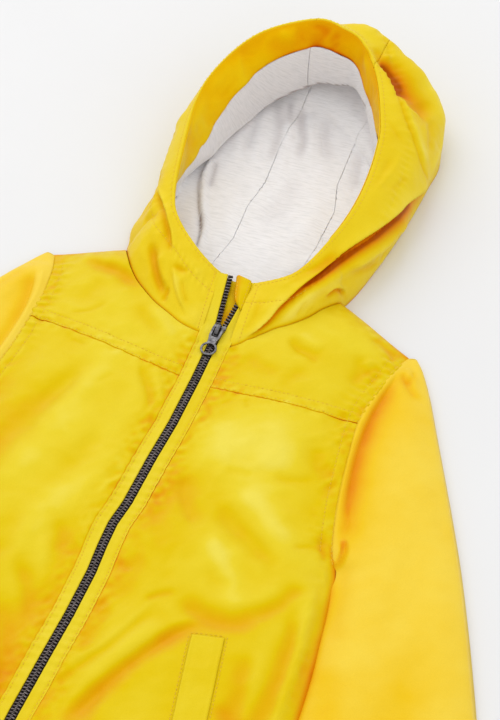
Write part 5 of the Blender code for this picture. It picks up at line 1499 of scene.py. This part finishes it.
def shell(name, wall, base, painted_shade):
    """A bowl from its wall and its base; the base closes under the front neck."""
    faces = grid_faces(*wall.shape[:2])
    count, steps = base.shape[:2]
    index = wall.shape[0] * wall.shape[1] + np.arange(count * steps).reshape(count, steps)
    below = np.roll(index, -1, 0)
    quads = np.stack([index[:, :-1], index[:, 1:], below[:, 1:], below[:, :-1]], -1)
    faces += quads.reshape(-1, 4).tolist()
    mesh = mesh_from(name, np.concatenate([wall.reshape(-1, 3), base.reshape(-1, 3)]), faces)
    float_layer(mesh, "painted_shade", np.concatenate([painted_shade.ravel(), np.zeros(count * steps)]))
    bm = bmesh.new()
    bm.from_mesh(mesh)
    bmesh.ops.remove_doubles(bm, verts=bm.verts, dist=0.02 * MM)
    bmesh.ops.recalc_face_normals(bm, faces=bm.faces)
    bm.to_mesh(mesh)
    bm.free()
    return mesh


def parted(mesh, sink):
    """The mesh cut along the two seams of the centre strip: left, strip and right."""
    half_strip, strip_foot = STRIP_HALF * MM, STRIP_FOOT_Y * MM
    bm = bmesh.new()
    bm.from_mesh(mesh)
    for place, normal in (((half_strip, 0, 0), (1, 0, 0)), ((-half_strip, 0, 0), (1, 0, 0)),
                          ((0, strip_foot, 0), (0, 1, 0))):
        bmesh.ops.bisect_plane(bm, geom=bm.verts[:] + bm.edges[:] + bm.faces[:],
                               plane_co=place, plane_no=normal, dist=1e-6)
    bm.normal_update()
    for vert in bm.verts:
        if abs(abs(vert.co.x) - half_strip) < 2e-5 and vert.co.y > strip_foot:
            vert.co -= vert.normal * sink * MM
    found = {}
    for part in ("left", "strip", "right"):
        copy = bm.copy()
        doomed = []
        for face in copy.faces:
            centre = face.calc_center_median()
            in_strip = abs(centre.x) < half_strip and centre.y > strip_foot
            where = "strip" if in_strip else "right" if centre.x > 0 else "left"
            if where != part:
                doomed.append(face)
        bmesh.ops.delete(copy, geom=doomed, context="FACES")
        found[part] = bpy.data.meshes.new(mesh.name + "_" + part)
        copy.to_mesh(found[part])
        copy.free()
        found[part].shade_smooth()
    bm.free()
    return found


def run_lengths(points, axis):
    """How far along an axis of a grid each point is from the first one."""
    first = np.take(points, [0], axis)
    return np.cumsum(np.linalg.norm(np.diff(points, axis=axis, prepend=first), axis=-1), axis)


def hood_relief(wall, normals, down, round_rim):
    """The hood's wall with its folds and sewing, and its painted shade."""
    points = wall.reshape(-1, 3)
    folds = snapped(HOOD_FOLDS, points)
    height, painted_shade = relief(points, folds)
    shift = pushed(points, normals.reshape(-1, 3), folds).reshape(wall.shape)
    height += humps(points, (0.7, 48, 61), (0.3, 20, 62), (0.12, 8, 63))
    height += 0.5 * crumples(points, 64)
    height, painted_shade = height.reshape(down.shape), painted_shade.reshape(down.shape)
    from_band = np.minimum(round_rim, round_rim[-1] - round_rim)
    free = smooth((down - 1) / 10) * smooth((down[:, -1:] - down + 1) / 8)
    free *= smooth((from_band + 0.5) / 8)
    from_row = down - by_section(FACING_WIDTH, len(down))[:, None]
    gathers = np.cos(2 * math.pi * round_rim / 6.0 + 2 * np.sin(round_rim / 19))
    stitched = 0.3 * gathers * bell(from_row, 5) - GROOVE * bell(from_row)
    stitched += 0.16 * np.cos(2 * math.pi * round_rim / 5.3) * bell(down - 2, 3)
    wall = wall + normals * (height * free + stitched * smooth(down / 2))[..., None]
    wall += shift * free[..., None]
    under = 1 - smooth(from_band / 3)
    wall[..., 0] -= np.sign(wall[..., 0]) * 1.7 * under
    wall[..., 2] -= 0.5 * under
    return wall, painted_shade, free


def rolled_rim(wall, normal):
    """The rounded edge of the opening, from inside over its top to the wall."""
    tangent = unit(wall[:, 1] - wall[:, 0])
    out = unit(normal - tangent * (normal * tangent).sum(1, keepdims=True))
    angles = np.radians(np.linspace(190, 25, 7))[None, :, None]
    middle = (wall[:, 0] - out * RIM_RADIUS)[:, None]
    return middle + RIM_RADIUS * (out[:, None] * np.cos(angles)
                                  - tangent[:, None] * np.sin(angles))


def build_hood(mats):
    """The whole hood; gives its outer wall, the normals and the way down each column."""
    columns = hood_columns()
    form, normal = outer_wall(columns, WALL_STEPS)
    normals = -grid_normals(form)
    down = run_lengths(form, 1)
    round_rim = run_lengths(columns["rim"], 0)[:, None]
    wall, painted_shade, free = hood_relief(form, normals, down, round_rim)
    rim = rolled_rim(wall, normal)
    # painted shade along the foot of the hood at the neck seam
    painted_seam_shade = 0.9 * bell(down[:, -1:] - down, 2)
    painted_shade = np.concatenate([np.repeat(painted_shade[:, :1], rim.shape[1], 1), painted_shade * free + painted_seam_shade], 1)
    mesh = shell("hood_outer", np.concatenate([rim, wall], 1),
                 base_grid(columns["at_neck"], wall[:, -1], HOOD_BASE_Z, UNDER_STEPS), painted_shade)
    for part, cut in parted(mesh, 0.5).items():
        piece("hood_" + part + "_cloth", cut, mats["nylon_hood_lit"], ["hood_" + part], wall=CLOTH)
    build_inner(columns, mats)
    return wall, normals, down


def build_inner(columns, mats):
    """Facing and lining."""
    lines, lip = inner_lines(columns, *outer_wall(columns, FORM_STEPS))
    facing, lining = [], []
    for line, width in zip(lines, by_section(FACING_WIDTH, len(lines))):
        share = min(width / lengths(line)[-1], FACING_SHARE)
        facing.append(shared(line, np.linspace(0, share, FACING_STEPS)))
        lining.append(shared(line, np.linspace(share, 1, LINING_STEPS)))
    build_facing(np.array(facing), mats["nylon_facing_shaded"])
    lining = np.array(lining)[::2]
    base = base_grid(columns["at_neck"][::2], lining[:, -1], HOOD_WALL, BASE_STEPS)
    mesh = shell("lining", lining, base, np.zeros(lining.shape[:2]))
    for part, cut in parted(mesh, 0.2).items():
        lay_lining(cut, lip)
        piece("lining_" + part + "_cloth", cut, mats["jersey"], ["lining_" + part],
              wall=CLOTH)


def build_facing(grid, mat):
    """The yellow band inside the opening, with painted shade that deepens its colour under the
    crown.
    """
    inwards = np.linspace(0, 1, FACING_STEPS)[None]
    round_rim = np.linspace(0, 1, len(grid))[:, None]
    points = grid.reshape(-1, 3)
    bumps = humps(points, (0.9, 26, 71), (0.6, 12, 72)) + crumples(points, 74)
    bumps = bumps.reshape(grid.shape[:2]) * smooth(inwards / 0.3)
    # painted shade: deeper orange under the crown and deepest at its inner edge there; its bumps
    # painted paler, a painted highlight
    crown = smooth((round_rim - 0.22) / 0.28) * (1 - smooth((round_rim - 0.60) / 0.1))
    painted_shade = 0.04 + 0.7 * crown + 0.2 * waves(points, 30, 73).reshape(bumps.shape) - 0.2 * bumps
    painted_shade = painted_shade + 0.45 * bell(1 - inwards, 0.08) * crown
    grid = grid + grid_normals(grid) * bumps[..., None]
    mesh = mesh_from("facing", grid.reshape(-1, 3), grid_faces(*grid.shape[:2]))
    float_layer(mesh, "painted_shade", painted_shade)
    piece("facing_cloth", mesh, mat, ["hood_facing"], wall=CLOTH, offset=1)


def lay_lining(mesh, lip):
    """Folds in the lining, the shade in them, and the wander of its two long seams."""
    points = np.empty(len(mesh.vertices) * 3)
    mesh.vertices.foreach_get("co", points)
    points = points.reshape(-1, 3) / MM
    plan = points[:, :2].copy()
    low = 1 - smooth((points[:, 2] - 6) / 10)
    inside = smooth((points[:, 1] - 66) / 14)
    distance, share, _, _ = near(points, lip)
    lip_z = np.interp(share, lengths(lip) / lengths(lip)[-1], lip[:, 2])
    below = smooth((lip_z - points[:, 2] + 0.2) / 0.8)
    height, shade = relief(plan, LINING_FOLDS)
    shade = shade * low * inside + 0.85 * below * bell(distance, 3.2)
    float_layer(mesh, "shade", shade + 0.22 * smooth((points[:, 2] - 8) / 6))
    height += humps(plan, (0.5, 40, 81), (0.35, 15, 82))
    rough = humps(points, (0.5, 22, 83), (0.25, 9, 84)) * (1 - low)
    points[:, 2] += np.maximum(height * low * inside, -0.9) + rough
    for sign, rows in SEAM_WANDER.items():
        points[:, 0] += table(rows)(plan[:, 1]) * bell(plan[:, 0] - sign * STRIP_HALF, 26) * low
    mesh.vertices.foreach_set("co", (points * MM).ravel())
    mesh.update()
    flat = points * (1, 1, 0)
    flat[:, :2] += unit(points[:, :2] - HOOD_CENTRE) * (points[:, 2:] - HOOD_WALL)
    layer = mesh.attributes.new("flat", "FLOAT_VECTOR", "POINT")
    layer.data.foreach_set("vector", (flat * MM).ravel().astype(np.float32))


# ---------------------------------------------------------------- materials

class Nodes:
    """A short way to make and join shader nodes."""

    def __init__(self, name):
        self.material = bpy.data.materials.new(name)
        self.material.use_nodes = True
        self.tree = self.material.node_tree
        self.shader = self.tree.nodes["Principled BSDF"]
        self.place = self.add("ShaderNodeTexCoord").outputs["Object"]

    def feed(self, node, inputs):
        """Sets a node's inputs, or joins them to other nodes' outputs."""
        for key, value in inputs.items():
            if isinstance(value, bpy.types.NodeSocket):
                self.tree.links.new(value, node.inputs[key])
            else:
                node.inputs[key].default_value = value

    def add(self, kind, inputs=(), **values):
        node = self.tree.nodes.new(kind)
        for key, value in values.items():
            setattr(node, key, value)
        self.feed(node, dict(inputs))
        return node

    def attribute(self, name, output="Fac"):
        return self.add("ShaderNodeAttribute", attribute_name=name).outputs[output]

    def noise(self, scale, stretch=(1, 1, 1), detail=2.0, rough=0.5, distortion=0.0,
              place=None):
        mapping = self.add("ShaderNodeMapping", {"Scale": stretch, "Vector": place or self.place})
        return self.add("ShaderNodeTexNoise", {
            "Scale": scale, "Detail": detail, "Roughness": rough, "Distortion": distortion,
            "Vector": mapping.outputs["Vector"]}).outputs["Fac"]

    def creases(self, scale):
        """Thin sharp ridges that meet at angles, as in crumpled nylon."""
        return self.add("ShaderNodeTexNoise", {
            "Scale": scale, "Detail": 2.0, "Distortion": 0.5, "Vector": self.place},
            noise_type="RIDGED_MULTIFRACTAL").outputs["Fac"]

    def threads(self, pitch, axis):
        """Parallel threads this far apart, in millimetres."""
        return self.add("ShaderNodeTexWave", {
            "Scale": 0.31416 / (pitch * MM), "Distortion": 0.6, "Detail Scale": 3.0,
            "Vector": self.place}, bands_direction=axis, wave_profile="SIN").outputs["Fac"]

    def ramp(self, fac, *stops):
        node = self.add("ShaderNodeValToRGB", {"Fac": fac})
        ramp = node.color_ramp
        while len(ramp.elements) < len(stops):
            ramp.elements.new(0.5)
        for element, (position, colour) in zip(ramp.elements, stops):
            element.position = position
            element.color = (*colour, 1) if isinstance(colour, tuple) else (colour,) * 3 + (1,)
        return node.outputs["Color"]

    def multiply(self, a, b):
        """One colour darkened by another."""
        return self.add("ShaderNodeMix", {0: 1.0, 6: a, 7: b}, data_type="RGBA",
                        blend_type="MULTIPLY").outputs[2]

    def math(self, operation, a, b):
        return self.add("ShaderNodeMath", {0: a, 1: b}, operation=operation).outputs[0]

    def weave(self, warp, weft, axes="XY"):
        return self.math("MULTIPLY", self.threads(warp, axes[0]), self.threads(weft, axes[1]))

    def bump(self, height, distance, strength, under=None):
        inputs = {"Strength": strength, "Distance": distance * MM, "Height": height}
        if under:
            inputs["Normal"] = under
        return self.add("ShaderNodeBump", inputs).outputs["Normal"]

    def finish(self, colour, rough, normal, **values):
        self.feed(self.shader, {"Base Color": colour, "Roughness": rough, "Normal": normal})
        self.feed(self.shader, {key.replace("_", " "): value for key, value in values.items()})
        return self.material


# Where the six colours of the nylon lie, from painted highlight where it faces up to painted shade
# where it is folded in
NYLON_STOPS = (0.0, 0.16, 0.41, 0.68, 0.82, 1.0)


def nylon(name, colours, gloss=0.34):
    """Shiny plain-woven nylon, coloured by its painted shade: pale, a painted highlight, where it
    faces up, and through gold to orange, painted shade, where it folds in. The six colours run from
    pale to deep."""
    n = Nodes(name)
    cloud = n.math("SUBTRACT", n.noise(10, detail=3.0, rough=0.55), 0.5)
    mottle = n.math("SUBTRACT", n.noise(45, detail=3.0, rough=0.5), 0.5)
    drift = n.math("ADD", n.math("MULTIPLY", cloud, 0.7), n.math("MULTIPLY", mottle, 0.3))
    place = n.add("ShaderNodeMapRange", {"Value": n.math("ADD", n.attribute("painted_shade"), drift),
                                         "From Min": -0.3, "From Max": 1.3})
    base = n.ramp(place.outputs["Result"], *zip(NYLON_STOPS, colours))
    base = n.multiply(base, n.ramp(n.noise(1500, detail=1.0), (0.3, 0.95), (0.7, 1.0)))
    normal = n.bump(n.creases(30), 0.6, 0.4)
    normal = n.bump(n.noise(150, detail=3.0, rough=0.55, distortion=0.4), 0.8, 0.22, normal)
    normal = n.bump(n.noise(420), 0.2, 0.2, normal)
    normal = n.bump(n.weave(0.42, 0.42), 0.03, 0.5, normal)
    rough = n.ramp(n.noise(60, detail=3.0), (0.3, 0.40), (0.7, 0.50))
    return n.finish(base, rough, normal, Specular_IOR_Level=gloss,
                    Specular_Tint=(1.0, 0.86, 0.04, 1.0))


def jersey():
    """Light grey marl jersey: short darker fibres that run across, on a fine knit."""
    n = Nodes("grey_marl_jersey")
    flat = n.attribute("flat", "Vector")
    streaks = n.noise(18, (5.0, 36, 1), detail=3.0, rough=0.55, distortion=0.2, place=flat)
    colour = n.ramp(streaks, (0.3, (0.77, 0.765, 0.77)), (0.48, (0.85, 0.84, 0.85)),
                    (0.64, (0.89, 0.88, 0.89)))
    flecks_and_pucker_shade = n.ramp(n.noise(30, (9, 80, 1), place=flat), (0.32, 0.95), (0.5, 1.0))
    shade = n.ramp(n.attribute("shade"), (0.0, 1.0), (0.5, (0.72, 0.69, 0.69)),
                   (1.0, (0.34, 0.27, 0.25)))
    colour = n.multiply(n.multiply(colour, flecks_and_pucker_shade), shade)
    fuzz = n.noise(700, detail=3.0, rough=0.7)
    normal = n.bump(n.noise(70, detail=3.0), 1.1, 0.3)
    normal = n.bump(n.weave(0.9, 0.7), 0.12, 0.35, normal)
    normal = n.bump(fuzz, 0.15, 0.5, normal)
    return n.finish(colour, n.ramp(fuzz, (0.3, 0.86), (0.7, 0.96)), normal,
                    Sheen_Weight=0.25, Sheen_Roughness=0.6, Specular_IOR_Level=0.25)


def thread():
    """Yellow sewing thread, twisted."""
    n = Nodes("sewing_thread")
    twist = n.threads(0.5, "DIAGONAL")
    colour = n.ramp(twist, (0.3, (0.72, 0.42, 0.006)), (0.75, (0.86, 0.60, 0.03)))
    rough = n.ramp(twist, (0.2, 0.5), (0.8, 0.62))
    return n.finish(colour, rough, n.bump(twist, 0.08, 0.6), Specular_IOR_Level=0.4)


def gunmetal(name, dark, light, dullness):
    """Plated metal, its colour and its polish mottled at random."""
    n = Nodes(name)
    colour = n.ramp(n.noise(420, detail=4.0, rough=0.6), (0.35, dark), (0.7, light))
    rough = n.ramp(n.noise(240, detail=3.0), *zip((0.3, 0.7), dullness))
    return n.finish(colour, rough, n.bump(n.noise(900), 0.05, 0.35), Metallic=1.0)


def tape_cloth():
    """The dark woven tape of the zip."""
    n = Nodes("zip_tape_weave")
    weave = n.weave(0.6, 0.45, "YX")
    colour = n.ramp(weave, (0.2, (0.016, 0.010, 0.009)), (0.8, (0.06, 0.036, 0.03)))
    rough = n.ramp(weave, (0.2, 0.7), (0.8, 0.85))
    return n.finish(colour, rough, n.bump(weave, 0.12, 0.7), Specular_IOR_Level=0.3)


def make_materials():
    # Painted light: the sleeves and the hood get brighter copies of the nylon, the sleeves' also
    # more orange, and the facing a deeper, shaded copy; the last three colours of each are the
    # painted shade of folds.
    painted_fold_shades = [(0.76, 0.35, 0.001), (0.74, 0.23, 0.0006), (0.44, 0.075, 0.0004)]
    return {
        "nylon_body": nylon("yellow_nylon_body", [
            (0.83, 0.69, 0.080), (0.79, 0.615, 0.024), (0.75, 0.53, 0.001)] + painted_fold_shades),
        "nylon_sleeve_lit": nylon("yellow_nylon_sleeve", [
            (0.89, 0.67, 0.09), (0.88, 0.63, 0.06), (0.85, 0.54, 0.012), (0.82, 0.38, 0.001),
            (0.78, 0.25, 0.001), (0.44, 0.075, 0.0004)]),
        "nylon_hood_lit": nylon("yellow_nylon_hood", [
            (0.87, 0.70, 0.075), (0.82, 0.61, 0.018), (0.77, 0.50, 0.001)] + painted_fold_shades),
        "nylon_facing_shaded": nylon("yellow_nylon_facing", [
            (0.86, 0.61, 0.02), (0.86, 0.56, 0.005), (0.85, 0.48, 0.001), (0.80, 0.35, 0.001),
            (0.72, 0.20, 0.0005), (0.55, 0.08, 0.0004)], gloss=0.14),
        "jersey": jersey(),
        "thread": thread(),
        "metal": gunmetal("gunmetal_slider", (0.085, 0.08, 0.085), (0.24, 0.235, 0.24),
                          (0.3, 0.46)),
        "teeth": gunmetal("gunmetal_teeth", (0.08, 0.065, 0.06), (0.21, 0.18, 0.175),
                          (0.4, 0.55)),
        "tape": tape_cloth(),
    }


# ---------------------------------------------------------------- the studio

SKY = 0.88                  # strength of the light from all round
FLOOR_SIZE = (6.0, 6.0)     # metres
CAMERA_PLACE = (0.4434, -1.084, 1.290)
CAMERA_TURN = (42, 0, 21)   # degrees
LENS = 119.75
SENSOR = 36


def area_light(name, place, size, power):
    """A round soft light that shines on the jacket."""
    light = bpy.data.lights.new(name, "AREA")
    light.shape = "DISK"
    light.size = size
    light.energy = power
    item = bpy.data.objects.new(name, light)
    item.location = place
    item.rotation_euler = (-Vector(place)).to_track_quat("-Z", "Y").to_euler()
    bpy.context.scene.collection.objects.link(item)


def build_floor():
    """A plain white table."""
    mesh = bpy.data.meshes.new("floor")
    x, y = (0.5 * size for size in FLOOR_SIZE)
    mesh.from_pydata([(-x, -y, 0), (x, -y, 0), (x, y, 0), (-x, y, 0)], [], [(0, 1, 2, 3)])
    floor = bpy.data.objects.new("floor", mesh)
    bpy.context.scene.collection.objects.link(floor)
    n = Nodes("white_table")
    colour = n.ramp(n.noise(3), (0.3, (0.79, 0.79, 0.795)), (0.7, (0.81, 0.81, 0.815)))
    rough = n.ramp(n.noise(40), (0.3, 0.7), (0.7, 0.8))
    mesh.materials.append(n.finish(colour, rough, n.bump(n.noise(500), 0.05, 0.2)))


def build_studio():
    scene = bpy.context.scene
    scene.view_settings.view_transform = "Standard"
    scene.view_settings.look = "None"
    scene.world = bpy.data.worlds.new("studio")
    scene.world.use_nodes = True
    sky = scene.world.node_tree.nodes["Background"]
    sky.inputs["Color"].default_value = (1, 1, 1, 1)
    sky.inputs["Strength"].default_value = SKY
    area_light("key", (-1.7, 1.8, 2.4), size=3.4, power=38)
    area_light("fill", (2.0, -1.6, 2.2), size=2.4, power=10)
    build_floor()
    camera = bpy.data.cameras.new("camera")
    camera.lens = LENS
    camera.sensor_width = SENSOR
    item = bpy.data.objects.new("camera", camera)
    item.location = CAMERA_PLACE
    item.rotation_euler = [math.radians(angle) for angle in CAMERA_TURN]
    scene.collection.objects.link(item)
    scene.camera = item


# ---------------------------------------------------------------- the jacket

def hood_stitches(wall, normals, down, mat):
    """The row along the hood's edge, the one that holds the facing, and one down each front."""
    count, widths = len(wall), by_section(FACING_WIDTH, len(wall))
    rows = []
    for chosen, distances in ((range(count), np.full(count, EDGE_TURN)),
                              (range(int(count * LEFT_ROW_END)), widths),
                              (range(int(count * RIGHT_ROW_START), count), widths)):
        reached = [i for i in chosen if distances[i] < down[i][-1] - 2]
        rows.append([np.array([[np.interp(distances[i], down[i], column)
                                for column in grid[i].T] for i in reached])
                     for grid in (wall, normals)])
    front = np.linalg.norm(wall[:, 10] - wall[0, 10], axis=1).searchsorted(FRONT_ROW)
    rows += [(wall[i, 3:-1], normals[i, 3:-1]) for i in (front, count - 1 - front)]
    stitch_rows("stitches_hood", rows, mat)


def main():
    mats = make_materials()
    build_studio()
    build_body(mats)
    for side in SIGN:
        build_tape(side, mats["tape"])
    build_chain(mats["teeth"])
    build_slider(mats["metal"])
    build_pull(mats["metal"])
    stitch_rows("stitches_guard", build_guard(mats["nylon_body"]), mats["thread"])
    build_wind_flap(mats["nylon_body"])
    hood_stitches(*build_hood(mats), mats["thread"])


main()
